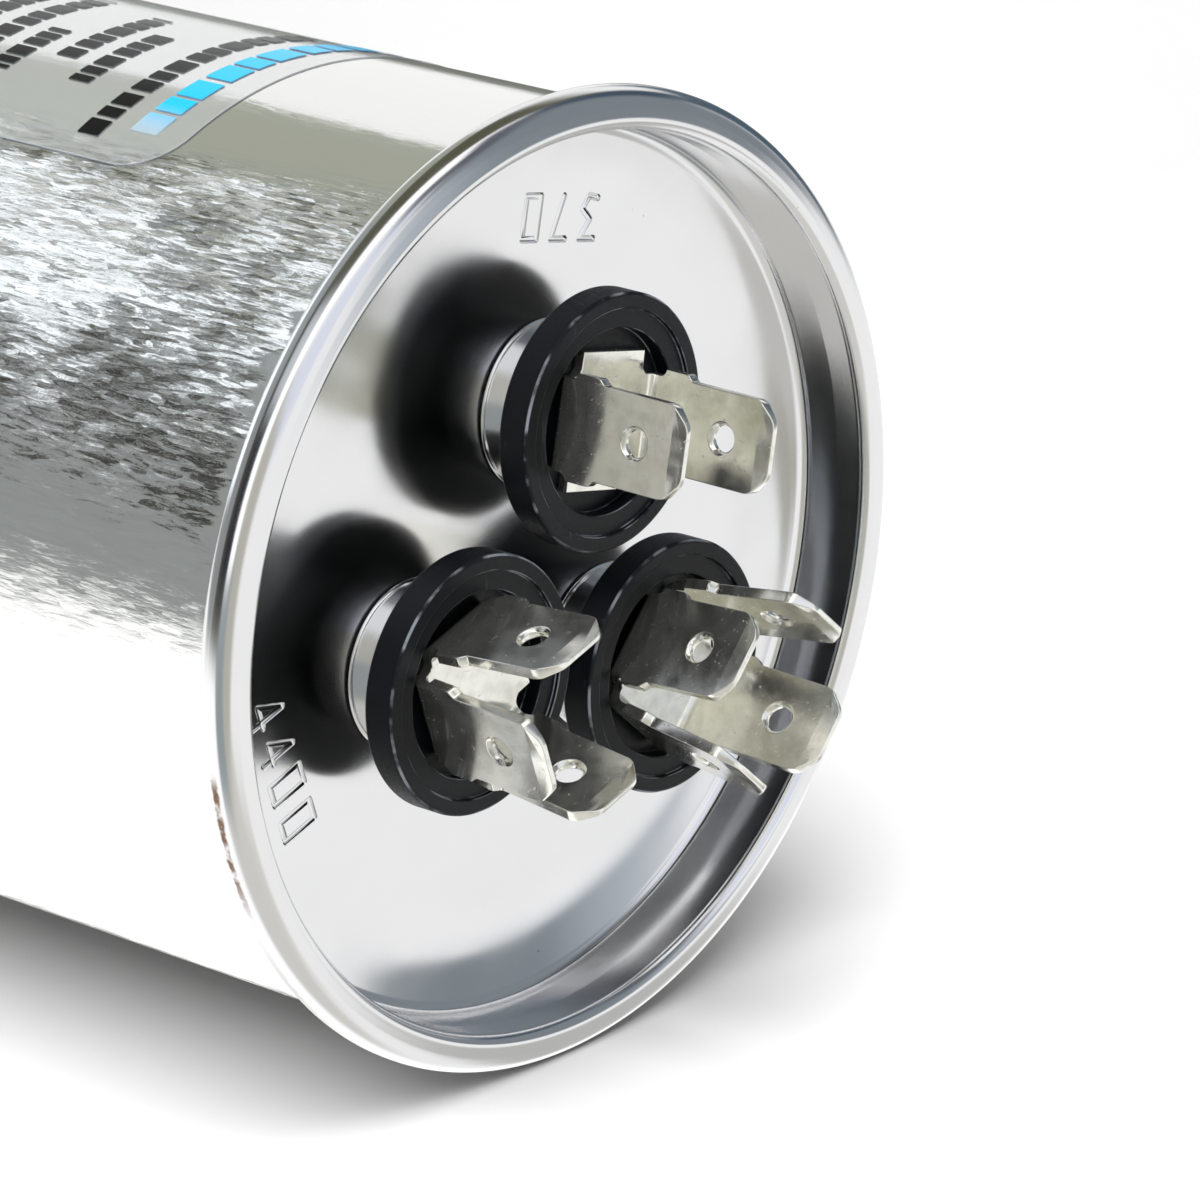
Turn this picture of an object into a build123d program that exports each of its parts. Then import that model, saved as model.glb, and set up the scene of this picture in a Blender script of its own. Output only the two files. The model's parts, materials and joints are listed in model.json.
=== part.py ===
from build123d import *
from math import cos, hypot, radians, sin, sqrt
import os

# Dual run capacitor: a drawn aluminium can closed by a double-seamed lid, which carries three
# insulated quick-connect terminals. Inside stands one wound film roll in two sections.
#
# Frame: +Z is the axis of the can, the origin is the centre of the flat base it stands on,
# and the tabs are on top. Angles run counter-clockwise from +X, seen from the tabs.

# ------------------------------------------------------------------ driving sizes, millimetres
# Can
can_diameter = 63.5
can_wall = 0.5
can_corner = 1.8             # outside radius between the base and the wall
case_height = 105.0          # base to the top of the seam

# Lid and double seam
lid_sheet = 0.55
seam_height = 2.8
seam_film = 0.05             # sealant film between the folded sheets
seam_pocket = 0.4            # depth of compound above the cover hook, below the flange's fold
seam_top_radius = 0.9        # bends of the lid sheet over the seam, on the sheet's middle line
lid_depth = 5.75             # top of the seam down to the lid panel
lid_wall_inset = 0.3         # how much the countersink wall closes in towards the panel
lid_corner_radius = 1.1      # bend between the countersink wall and the panel

# Bosses drawn up from the lid, one under each insulator
boss_room = 0.11             # gap between a tongue inside the boss and the boss's top
boss_flare = 0.4             # extra radius at the panel
boss_top_radius = 1.0
boss_foot_radius = 0.7
boss_land = 1.2              # panel kept round the boss in its own section

# Numbers stamped into the lid beside two of the terminals
stamp_height = 2.9
stamp_pitch = 2.9
stamp_stroke = 0.28
stamp_depth = 0.12
stamp_gap = 3.7              # insulator's rim to the middle of the figures

# Terminal layout
insulator_gap = 2.15         # between neighbouring insulators
fan_angle = -101.4           # the fan terminal; the other two follow at 120 degree steps

# Black insulator
insulator_radius = 8.8
insulator_floor = 0.5        # under the head of the stud
insulator_rise = 1.1         # top face above the top of the seam
insulator_edge = 0.25        # rounding of the rim
lip_width = 1.1
ring_recess = 0.35           # step down inside the lip
well_clearance = 0.2         # round the corners of the tab roots
well_depth = 1.5             # top face down to the seat of the tab plate
neck_radius = 2.7            # spigot that keeps the stud off the lid
neck_length = 0.45

# Quick-connect tabs, 6.35 mm series
tab_sheet = 0.8
tab_width = 6.35
shoulder_width = 0.425       # how far a root stands out past its tab on each side
tab_corner_gap = 0.56        # edge of one root to the face of the tab beside it
tab_bend_radius = 1.0        # bend at the root, on the sheet's middle line
tab_height = 11.25           # plate's middle plane to the tip, along the tab
tab_shoulder = 3.5           # plate's middle plane to the shoulder
shoulder_height = 0.5
tip_chamfer = 1.3
tip_bevel = 1.1              # length of the lead-in ground on both faces
tip_edge = 0.4               # thickness left at the tip
detent_hole = 1.8
detent_to_tip = 4.15
detent_chamfer = 0.25
stub_inset = 0.5             # how much narrower a stub is than a root, on each side
stub_extra = 0.15            # how far a stub runs past the middle plane of a tab
corner_relief = 1.05         # radius of the relief between two sides

# Stud, washer, ring terminal and lead under each terminal
stud_radius = 1.5
stud_head_radius = 3.2
stud_head = 0.4
stud_tail_radius = 2.4
stud_tail = 0.6
washer_room = 0.95           # between the washer and the boss round it
washer_thickness = 1.5
ring_sheet = 0.4
ring_radius = 2.9
tongue_width = 2.2
barrel_offset = 3.05         # stud's axis to the barrel's axis
barrel_wall = 0.35
barrel_length = 4.0
barrel_drop = 0.5            # stud tail down to the barrel
lead_radius = 0.9
lead_bend_radius = 3.5
fit_clearance = 0.05         # all round the studs and necks in their holes

# Wound roll
core_bore_radius = 4.3
core_wall = 1.2
section_wrap = 0.5
fan_build = 1.75             # radial thickness of the smaller, outer section
outer_wrap = 0.5
head_space = 15.4            # top of the roll to the lid panel, for the leads
spray_thickness = 0.6
wrap_margin = 0.6            # how far the wraps stand past the film at each end
strip_sheet = 0.3
strip_width = 6.0
strip_reach = 16.0

# Moulded pieces that hold the roll
cup_clearance = 0.3          # between the cup and the can
cup_wall = 1.1
cup_floor = 1.6
cup_height = 14.0
roll_clearance = 0.1
cap_disc = 1.2
cap_leg_inset = 7.75         # rim of the cap to the legs
cap_leg_wall = 1.6
cap_leg_span = 46.0          # degrees
lead_hole_clearance = 0.4

# Label film
label_sheet = 0.08
label_start = -240.0         # degrees
label_end = -60.0
label_bottom = 14.0
label_top_gap = 23.0         # from the top of the seam
label_corner = 4.0

# ------------------------------------------------------------------ sizes that follow
can_radius = can_diameter / 2
bore_radius = can_radius - can_wall
chuck_outer = bore_radius - seam_film
chuck_inner = chuck_outer - lid_sheet
cover_hook_inner = can_radius + seam_film
body_hook_inner = cover_hook_inner + lid_sheet + seam_film
seam_wall_inner = body_hook_inner + can_wall + seam_film
seam_radius = seam_wall_inner + lid_sheet
seam_bottom = case_height - seam_height
flange_top = case_height - lid_sheet - seam_film
body_fold = (body_hook_inner - can_radius) / 2
body_fold_centre = flange_top - can_wall - body_fold
cover_hook_top = body_fold_centre - seam_pocket
cover_fold = (seam_wall_inner - cover_hook_inner - lid_sheet) / 2
body_hook_end = seam_bottom + lid_sheet + cover_fold
nearly_half = 0.4995         # a hairpin bend takes all but a trace of the run between its two walls
overshoot = 1.0              # how far a cutter runs past what it cuts

panel_top = case_height - lid_depth
panel_bottom = panel_top - lid_sheet

tab_root_width = tab_width + 2 * shoulder_width
tab_gauge = tab_root_width + tab_sheet + 2 * tab_corner_gap   # between the middles of opposite tabs
stub_half_width = tab_root_width / 2 - stub_inset
stub_reach = tab_gauge / 2 + stub_extra
well_radius = hypot(tab_root_width / 2, (tab_gauge + tab_sheet) / 2) + well_clearance
terminal_circle = (2 * insulator_radius + insulator_gap) / sqrt(3)
stamp_radius = terminal_circle + insulator_radius + stamp_gap
tongue_reach = barrel_offset + lead_radius + barrel_wall
boss_radius = hypot(tongue_reach, tongue_width / 2) + boss_room + lid_sheet
washer_radius = boss_radius - lid_sheet - washer_room

insulator_thickness = well_depth + stud_head + insulator_floor
insulator_top = case_height + insulator_rise
insulator_bottom = insulator_top - insulator_thickness
plate_seat = insulator_top - well_depth
boss_top = insulator_bottom
washer_top = boss_top - lid_sheet
ring_top = washer_top - washer_thickness
tail_top = ring_top - ring_sheet
barrel_top = tail_top - stud_tail - barrel_drop
barrel_bottom = barrel_top - barrel_length

cup_outer = bore_radius - cup_clearance
cup_inner = cup_outer - cup_wall
roll_radius = cup_inner - roll_clearance
fan_radius = roll_radius - outer_wrap
wrap_radius = fan_radius - fan_build
compressor_radius = wrap_radius - section_wrap
core_radius = core_bore_radius + core_wall
cup_seat = can_wall + cup_floor
film_bottom = cup_seat + spray_thickness
roll_top = panel_bottom - head_space
film_top = roll_top - spray_thickness
cap_leg_radius = roll_radius - cap_leg_inset
cap_top = roll_top + cap_disc

terminals = {
    "fan": fan_angle,
    "compressor": fan_angle + 120,
    "common": fan_angle + 240,
}
# Side of the plate (degrees from the outward direction) and how far its tab leans out (degrees).
# A side that isn't named ends in a stub.
tab_leans = {
    "fan": {90: 1.0, -90: -1.9},
    "compressor": {-90: 4.6, 0: 3.2, 90: 8.3},
    "common": {180: 7.7, -90: 6.6, 0: 6.0, 90: 7.9},
}
# Figures stamped beside a terminal, read from outside the can
stamps = {"fan": "370", "compressor": "4400"}
# Strokes of the figures on a grid one wide and two high
glyphs = {
    "0": [(0, 0), (1, 0), (1, 2), (0, 2), (0, 0)],
    "3": [(0, 2), (1, 2), (0.4, 1.1), (1, 0.6), (0.6, 0), (0, 0.1)],
    "4": [(0.8, 0), (0.8, 2), (0, 0.6), (1.1, 0.6)],
    "7": [(0, 2), (1, 2), (0.4, 0)],
}


# ------------------------------------------------------------------ helpers
def turned(section, centre=(0, 0), span=360):
    """Revolve a section drawn in the XZ plane about the vertical line through centre."""
    return Pos(centre[0], centre[1], 0) * revolve(section, Axis.Z, span)


def sheet(points, bends, thickness):
    """Section of a folded sheet in the XZ plane: a middle line with a bend at each inner point."""
    line = FilletPolyline(*[(x, z) for x, z in points], radius=bends)
    return Plane.XZ * trace(line, thickness)


def block(inner, outer, bottom, top):
    """Rectangular section in the XZ plane between two radii and two heights."""
    return Plane.XZ * Pos((inner + outer) / 2, (bottom + top) / 2) * Rectangle(outer - inner, top - bottom)


def tube(inner, outer, bottom, top, centre=(0, 0)):
    """Plain tube, washer or disc about a vertical line."""
    return turned(block(inner, outer, bottom, top), centre)


def polar(radius, angle):
    return radius * cos(radians(angle)), radius * sin(radians(angle))


def outward(angle, radius=terminal_circle):
    """Place a piece drawn about Z, with its outward side on +X, at a terminal."""
    x, y = polar(radius, angle)
    return Pos(x, y, 0) * Rot(0, 0, angle)


def save(part, name):
    solids = part.solids()
    result = solids[0] if len(solids) == 1 else Compound(children=solids)
    result.label = name
    export_step(result, f"parts/{name}.step")


# ------------------------------------------------------------------ can and lid
def make_can():
    """Drawn can: flat base, wall, and the flange folded out and down into the body hook."""
    middle = can_radius - can_wall / 2
    hook = body_hook_inner + can_wall / 2
    floor = can_wall / 2
    flange = flange_top - can_wall / 2
    points = [(0, floor), (middle, floor), (middle, flange), (hook, flange), (hook, body_hook_end)]
    fold = (hook - middle) * nearly_half
    return turned(sheet(points, [can_corner - can_wall / 2, fold, fold], can_wall))


def lid_sheet_section():
    """Panel, countersink wall, and the edge rolled over the seam and up inside it."""
    half = lid_sheet / 2
    panel = panel_top - half
    foot = chuck_inner - lid_wall_inset + half
    wall = chuck_inner + half
    outer = seam_radius - half
    hook = cover_hook_inner + half
    crown = case_height - half
    under = seam_bottom + half
    points = [(0, panel), (foot, panel), (wall, seam_bottom), (wall, crown), (outer, crown),
              (outer, under), (hook, under), (hook, cover_hook_top)]
    fold = (outer - hook) * nearly_half
    bends = [lid_corner_radius, lid_corner_radius, seam_top_radius, seam_top_radius, fold, fold]
    return sheet(points, bends, lid_sheet)


def boss_section():
    """Boss drawn up from the panel, open at the top for the insulator's neck."""
    half = lid_sheet / 2
    hole = neck_radius + fit_clearance
    top = boss_top - half
    panel = panel_top - half
    upper = boss_radius - half
    lower = upper + boss_flare
    points = [(hole, top), (upper, top), (lower, panel), (lower + boss_land, panel)]
    return sheet(points, [boss_top_radius, boss_foot_radius], lid_sheet)


def stamp_cutter(figures, angle):
    """Grooves of the stamped figures, standing with their tops towards the lid's centre."""
    scale = stamp_height / 2
    width = scale
    grooves = []
    for index, figure in enumerate(figures):
        shift = (index - (len(figures) - 1) / 2) * stamp_pitch - width / 2
        points = [(shift + x * scale, y * scale - stamp_height / 2) for x, y in glyphs[figure]]
        for start, end in zip(points, points[1:]):
            grooves.append(SlotCenterPoint(
                ((start[0] + end[0]) / 2, (start[1] + end[1]) / 2), end, stamp_stroke))
    sketch = Sketch() + grooves
    cutter = extrude(sketch, 2 * stamp_depth)
    # the figures' up direction is -X of the outward frame
    return outward(angle, stamp_radius) * Pos(0, 0, panel_top - stamp_depth) * Rot(0, 0, 90) * cutter


def make_lid():
    lid = turned(lid_sheet_section())
    for angle in terminals.values():
        centre = polar(terminal_circle, angle)
        land = boss_radius - lid_sheet / 2 + boss_flare + boss_land - lid_sheet / 2
        lid -= tube(0, land, panel_bottom - overshoot, panel_top + overshoot, centre)
    for angle in terminals.values():
        lid += turned(boss_section(), polar(terminal_circle, angle))
    for name, figures in stamps.items():
        lid -= stamp_cutter(figures, terminals[name])
    return lid


def make_seam_compound():
    """Compound that fills the fold of the can's flange above the cover hook."""
    section = block(can_radius, body_hook_inner, cover_hook_top, body_fold_centre)
    section += Plane.XZ * Pos(can_radius + body_fold, body_fold_centre) * Circle(body_fold)
    return turned(section)


def make_label():
    """Clear printed film, glued round part of the wall."""
    top = case_height - label_top_gap
    strip = block(can_radius, can_radius + label_sheet, label_bottom, top)
    film = Rot(0, 0, label_start) * turned(strip, span=label_end - label_start)
    middle = label_corner / 2
    for angle, inward in ((label_start, 1), (label_end, -1)):
        for height, upward in ((label_bottom, 1), (top, -1)):
            square = Pos(inward * middle, upward * middle) * Rectangle(label_corner, label_corner)
            round_end = Pos(inward * label_corner, upward * label_corner) * Circle(label_corner)
            waste = extrude(Plane.YZ * (square - round_end), 2 * can_radius)
            film -= Rot(0, 0, angle) * Pos(0, 0, height) * waste
    return film


# ------------------------------------------------------------------ terminals
def make_insulator():
    """Outer insulator, about the stud's axis."""
    lip = insulator_radius - lip_width
    ring = insulator_top - ring_recess
    body = tube(0, insulator_radius, insulator_bottom, insulator_top)
    body = fillet(body.edges().filter_by(GeomType.CIRCLE), insulator_edge)
    body += tube(0, neck_radius, insulator_bottom - neck_length, insulator_bottom)
    body -= tube(0, lip, ring, insulator_top + overshoot)
    body -= tube(0, well_radius, plate_seat, insulator_top)
    body -= tube(0, stud_head_radius + fit_clearance, plate_seat - stud_head, plate_seat)
    body -= tube(0, stud_radius + fit_clearance, insulator_bottom - neck_length, plate_seat)
    return body


def make_tab(lean):
    """One tab with its bend, leaning out from +Z towards +X, drawn from the plate's middle plane."""
    half = tab_sheet / 2
    reach = tab_gauge / 2
    tip = (reach + tab_height * sin(radians(lean)), tab_height * cos(radians(lean)))
    section = sheet([(0, 0), (reach, 0), tip], [tab_bend_radius], tab_sheet)
    bent = extrude(section, tab_root_width / 2, both=True)

    # everything that follows is cut in the tab's own plane: Z along the tab, X through the sheet
    along = Pos(reach, 0, 0) * Rot(0, lean, 0)
    shoulder = tab_shoulder + shoulder_height
    for side in (1, -1):
        edge = [(tab_width / 2, tab_height + overshoot), (tab_width / 2, shoulder),
                (tab_root_width / 2, tab_shoulder), (tab_root_width, tab_shoulder),
                (tab_root_width, tab_height + overshoot)]
        corner = [(tab_width / 2 - tip_chamfer, tab_height), (tab_width / 2, tab_height - tip_chamfer),
                  (tab_root_width, tab_height - tip_chamfer), (tab_root_width, tab_height + overshoot),
                  (tab_width / 2 - tip_chamfer, tab_height + overshoot)]
        for outline in (edge, corner):
            profile = Plane.YZ * make_face(Polyline(*[(side * y, z) for y, z in outline], close=True))
            bent -= along * extrude(profile, 2 * tab_sheet, both=True)
        bevel = [(side * half, tab_height - tip_bevel), (side * tip_edge / 2, tab_height),
                 (side * tip_edge / 2, tab_height + overshoot), (side * 2 * half, tab_height + overshoot),
                 (side * 2 * half, tab_height - tip_bevel)]
        profile = Plane.XZ * make_face(Polyline(*bevel, close=True))
        bent -= along * extrude(profile, tab_root_width, both=True)
    height = tab_height - detent_to_tip
    bent -= along * Pos(0, 0, height) * Rot(0, 90, 0) * Cylinder(detent_hole / 2, 2 * tab_sheet)
    for side in (1, -1):
        mouth = Cone(detent_hole / 2, detent_hole / 2 + detent_chamfer, detent_chamfer)
        place = Pos(side * (half - detent_chamfer / 2), 0, height) * Rot(0, side * 90, 0)
        bent -= along * place * mouth
    return bent


def make_terminal(leans):
    """Tab plate: a square with a tab or a stub on each side, seated in the insulator's well."""
    middle = plate_seat + tab_sheet / 2
    inner = tab_gauge / 2 - tab_bend_radius
    plate = extrude(Rectangle(2 * inner, 2 * inner), tab_sheet / 2, both=True)
    for side in (0, 90, 180, -90):
        if side in leans:
            plate += Rot(0, 0, side) * make_tab(leans[side])
        else:
            stub = extrude(Pos(stub_reach / 2, 0) * Rectangle(stub_reach, 2 * stub_half_width),
                           tab_sheet / 2, both=True)
            plate += Rot(0, 0, side) * stub
    relief = (tab_gauge - corner_relief) / 2
    for x in (relief, -relief):
        for y in (relief, -relief):
            plate -= Pos(x, y, 0) * Cylinder(corner_relief, 4 * tab_sheet)
    return Pos(0, 0, middle) * plate


def make_stud():
    """Stud with its flat head under the tab plate and its tail clinched on the ring terminal."""
    stud = tube(0, stud_radius, tail_top - stud_tail, plate_seat)
    stud += tube(0, stud_head_radius, plate_seat - stud_head, plate_seat)
    tail = tube(0, stud_tail_radius, tail_top - stud_tail, tail_top)
    return stud + fillet(tail.edges().filter_by(GeomType.CIRCLE).sort_by(Axis.Z)[:1], stud_tail / 3)


def make_washer():
    """Inner insulating washer, under the boss."""
    return tube(stud_radius + fit_clearance, washer_radius, ring_top, washer_top)


def make_ring_terminal():
    """Crimped ring terminal: ring on the stud, tongue, and the barrel that grips the lead."""
    half = ring_sheet / 2
    bore = stud_radius
    reach = tongue_reach - half
    ring = tube(bore, ring_radius, tail_top, ring_top)
    points = [((bore + ring_radius) / 2, ring_top - half), (reach, ring_top - half), (reach, barrel_bottom)]
    tongue = extrude(sheet(points, [ring_sheet], ring_sheet), tongue_width / 2, both=True)
    barrel = tube(0, lead_radius + barrel_wall, barrel_bottom, barrel_top, (barrel_offset, 0))
    grip = tube(0, lead_radius, barrel_bottom - overshoot, barrel_top + overshoot,
                (barrel_offset, 0))
    hole = tube(0, bore, tail_top - overshoot, ring_top + overshoot)
    return ring + tongue + barrel - grip - hole


def make_lead(points):
    """Insulated lead along straight runs joined by arcs, in the plane of its terminal."""
    path = Polyline(*points) if len(points) == 2 else FilletPolyline(*points, radius=lead_bend_radius)
    start = Plane(origin=points[0], z_dir=Vector(*points[1]) - Vector(*points[0]))
    return sweep(start * Circle(lead_radius), path=path)


# ------------------------------------------------------------------ wound roll and what holds it
def make_cup():
    """Moulded cup under the roll, with a groove in its floor for the common strip."""
    cup = tube(0, cup_outer, can_wall, cup_height)
    foot = cup.edges().filter_by(GeomType.CIRCLE).sort_by(Axis.Z)[:1]
    cup = fillet(foot, can_corner - can_wall)
    cup -= tube(0, cup_inner, cup_seat, cup_height + overshoot)
    return cup - make_strip()


def make_strip():
    """Tinned strip from the lead's foot to the common end spray, let into the cup's floor."""
    half = strip_width / 2
    length = strip_reach + half
    middle = (strip_reach - half) / 2
    return Pos(middle, 0, cup_seat - strip_sheet / 2) * Box(length, strip_width, strip_sheet)


def make_cap(lead_spots):
    """Moulded cap on the roll, whose legs bear on the lid panel."""
    cap = tube(0, roll_radius, roll_top, cap_top)
    for angle in terminals.values():
        leg = block(cap_leg_radius - cap_leg_wall, cap_leg_radius, cap_top, panel_bottom)
        cap += Rot(0, 0, angle + 60 - cap_leg_span / 2) * turned(leg, span=cap_leg_span)
    for x, y in lead_spots:
        cap -= tube(0, lead_radius + lead_hole_clearance, roll_top - overshoot, cap_top + overshoot, (x, y))
    return cap - tube(0, core_bore_radius, roll_top - overshoot, cap_top + overshoot)


# ------------------------------------------------------------------ assembly
def main():
    save(make_can(), "can")
    save(make_lid(), "lid")
    save(make_seam_compound(), "seam_compound")
    save(make_label(), "label_film")

    # where each lead leaves its barrel and where it ends, as distances from the can's axis
    barrel_side = {"fan": 1, "compressor": 1, "common": -1}
    fan_spot = (wrap_radius + fan_radius) / 2
    lead_drop = barrel_bottom - lead_bend_radius
    for name, angle in terminals.items():
        side = barrel_side[name]
        near = terminal_circle + side * barrel_offset
        turn = 0 if side == 1 else 180
        save(outward(angle) * make_insulator(), f"{name}_insulator")
        save(outward(angle) * make_terminal(tab_leans[name]), f"{name}_terminal")
        save(outward(angle) * make_stud(), f"{name}_stud")
        save(outward(angle) * make_washer(), f"{name}_washer")
        save(outward(angle) * Rot(0, 0, turn) * make_ring_terminal(), f"{name}_ring_terminal")
        routes = {
            "fan": [(near, lead_drop), (fan_spot, cap_top + lead_bend_radius), (fan_spot, roll_top)],
            "compressor": [(near, roll_top)],
            "common": [(near, lead_drop), (0, cap_top + lead_bend_radius), (0, cup_seat)],
        }
        route = [(near, barrel_top)] + routes[name]
        save(Rot(0, 0, angle) * make_lead([(r, 0, z) for r, z in route]), f"{name}_lead")

    save(tube(core_bore_radius, core_radius, cup_seat, roll_top), "core_tube")
    save(tube(core_radius, compressor_radius, film_bottom, film_top), "compressor_winding")
    save(tube(compressor_radius, wrap_radius, film_bottom, film_top + wrap_margin), "section_wrap")
    save(tube(wrap_radius, fan_radius, film_bottom, film_top), "fan_winding")
    save(tube(fan_radius, roll_radius, cup_seat, roll_top), "outer_wrap")
    save(tube(core_radius, fan_radius, cup_seat, film_bottom), "common_end_spray")
    save(tube(core_radius, compressor_radius, film_top, roll_top), "compressor_end_spray")
    save(tube(wrap_radius, fan_radius, film_top, roll_top), "fan_end_spray")
    save(make_strip(), "common_strip")
    save(make_cup(), "bottom_cup")
    spots = [polar(fan_spot, terminals["fan"]),
             polar(terminal_circle + barrel_offset, terminals["compressor"])]
    save(make_cap(spots), "spacer_cap")


main()
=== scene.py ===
"""Dual run capacitor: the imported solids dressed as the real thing.

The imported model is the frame: metres, +Z along the can towards the tabs, origin at the centre of the base.
Sizes are properties in metres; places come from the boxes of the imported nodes.
"""
import json
from math import acos, atan2, cos, hypot, pi, radians, sin, sqrt, tan

import bmesh
import bpy
from bpy.props import FloatProperty, FloatVectorProperty, IntProperty, PointerProperty, StringProperty
from mathutils import Matrix, Vector
from mathutils.geometry import tessellate_polygon


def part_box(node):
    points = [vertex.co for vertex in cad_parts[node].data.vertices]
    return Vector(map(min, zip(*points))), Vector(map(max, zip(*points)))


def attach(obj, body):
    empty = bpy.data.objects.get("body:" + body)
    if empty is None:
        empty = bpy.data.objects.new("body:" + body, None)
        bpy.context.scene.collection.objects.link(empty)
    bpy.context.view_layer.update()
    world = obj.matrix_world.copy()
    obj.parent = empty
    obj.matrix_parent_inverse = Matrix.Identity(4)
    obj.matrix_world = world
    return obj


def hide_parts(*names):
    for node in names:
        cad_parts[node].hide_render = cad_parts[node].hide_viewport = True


bl_info = {
    "name": "Dual run capacitor",
    "version": (1, 0, 0),
    "blender": (4, 5, 0),
    "location": "View3D > Sidebar > Capacitor",
    "description": "Turned shells, folded terminals, printed film, finishes and stage of a run capacitor",
    "category": "Add Mesh",
}

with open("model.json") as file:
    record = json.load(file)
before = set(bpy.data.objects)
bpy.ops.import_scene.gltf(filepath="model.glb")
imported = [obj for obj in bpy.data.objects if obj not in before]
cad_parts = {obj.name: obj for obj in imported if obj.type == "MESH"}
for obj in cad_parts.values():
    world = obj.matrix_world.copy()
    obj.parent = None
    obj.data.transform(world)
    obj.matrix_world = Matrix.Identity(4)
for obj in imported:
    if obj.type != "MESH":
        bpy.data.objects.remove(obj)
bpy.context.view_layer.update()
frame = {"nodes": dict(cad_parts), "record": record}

MM = 0.001
BODY = "root"
TERMINALS = ("fan", "compressor", "common")


# ------------------------------------------------------------------ places taken from the frame
def node_centre(node):
    low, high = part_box(node)
    return (low + high) / 2


LID_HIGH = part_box("lid")[1]
INSULATOR_LOW, INSULATOR_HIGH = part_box("fan_insulator")
SEAM_RADIUS = LID_HIGH.x
CASE_HEIGHT = LID_HIGH.z
BOSS_HEADS = {name: node_centre(f"{name}_insulator") * Vector((1, 1, 0)) for name in TERMINALS}


# ------------------------------------------------------------------ properties
def length(name, description, default_mm, low_mm=0.0, high_mm=200.0):
    """Property for a length that is given in millimetres and kept in metres."""
    return FloatProperty(name=name, description=description, default=default_mm * MM, min=low_mm * MM,
                         max=high_mm * MM, unit="LENGTH", subtype="DISTANCE", precision=5)


def colour(name, description, default):
    """Property for a colour."""
    return StringProperty(name=name, description=description + ", as an sRGB hex value", default=default)


class CapacitorSheets(bpy.types.PropertyGroup):
    """Can, lid and seam."""
    can_radius: length("Can radius", "Outside of the drawn wall", 31.75)
    can_wall: length("Can wall", "Thickness of the drawn aluminium", 0.5)
    can_corner: length("Base corner", "Outside radius between base and wall", 1.8)
    lid_sheet: length("Lid sheet", "Thickness of the lid", 0.55)
    seam_film: length("Seam film", "Sealant between the folded sheets", 0.05)
    seam_height: length("Seam height", "Top of the seam to its lower edge", 2.8)
    seam_pocket: length("Seam pocket", "Compound above the cover hook", 0.4)
    seam_outer_radius: length("Seam outer radius", "Bend over the seam's outer side, on the middle line", 1.25)
    seam_inner_radius: length("Seam inner radius", "Bend over the seam's inner side, on the middle line", 0.6)
    seam_slope: length("Seam slope", "How much the top of the seam falls from its inner to its outer side", 0.25)
    lid_depth: length("Lid depth", "Top of the seam to the panel", 5.75)
    lid_wall_inset: length("Wall inset", "How much the countersink wall closes in", 0.2)
    lid_corner_radius: length("Panel corner", "Bend between countersink wall and panel", 1.1)
    panel_rim: length("Panel rim", "Radius where the flat panel starts", 28.6)
    boss_flare: length("Boss flare", "Extra radius of a boss at the panel", 0.4)
    boss_radius: length("Boss radius", "Outside of a boss at its top", 5.1)
    boss_top_radius: length("Boss top radius", "Bend at the top of a boss", 1.4)
    boss_foot_radius: length("Boss foot radius", "Bend at the foot of a boss", 0.7)
    boss_land: length("Boss land", "Flat kept round a boss", 1.2)
    segments: IntProperty(name="Segments", description="Steps round a turned shell", default=288, min=48)


class CapacitorStamps(bpy.types.PropertyGroup):
    """Figures stamped into the lid."""
    height: length("Height", "Height of a figure", 2.9)
    pitch: length("Pitch", "From one figure to the next", 2.9)
    groove: length("Groove radius", "Radius of the rounded punch", 0.28)
    depth: length("Depth", "How far the punch sinks in", 0.16)
    radius: length("Radius", "Middle of the figures from the can's axis", 23.9)
    fan: StringProperty(name="At the fan terminal", description="Plain number", default="370")
    compressor: StringProperty(name="At the compressor terminal", description="Plain number", default="4400")


class CapacitorInsulator(bpy.types.PropertyGroup):
    """Pressed phenolic insulator under each terminal."""
    edge: length("Edge", "Rounding of the rim", 0.25)
    step_edge: length("Step edge", "Rounding of the steps inside the rim", 0.12)
    lip_width: length("Lip width", "Raised lip round the top face", 1.1)
    ring_recess: length("Ring recess", "Step down inside the lip", 0.35)
    well_radius: length("Well radius", "Well that seats the tab plate", 6.33)
    well_depth: length("Well depth", "Top face to the seat of the plate", 1.5)
    neck_radius: length("Neck radius", "Spigot in the boss", 2.7)
    neck_length: length("Neck length", "Length of the spigot", 0.45)
    head_radius: length("Head recess", "Recess for the stud's head", 3.25)
    head_depth: length("Head depth", "Depth of that recess", 0.4)
    bore: length("Bore", "Hole for the stud", 1.55)
    segments: IntProperty(name="Segments", description="Steps round an insulator", default=192, min=48)


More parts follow.
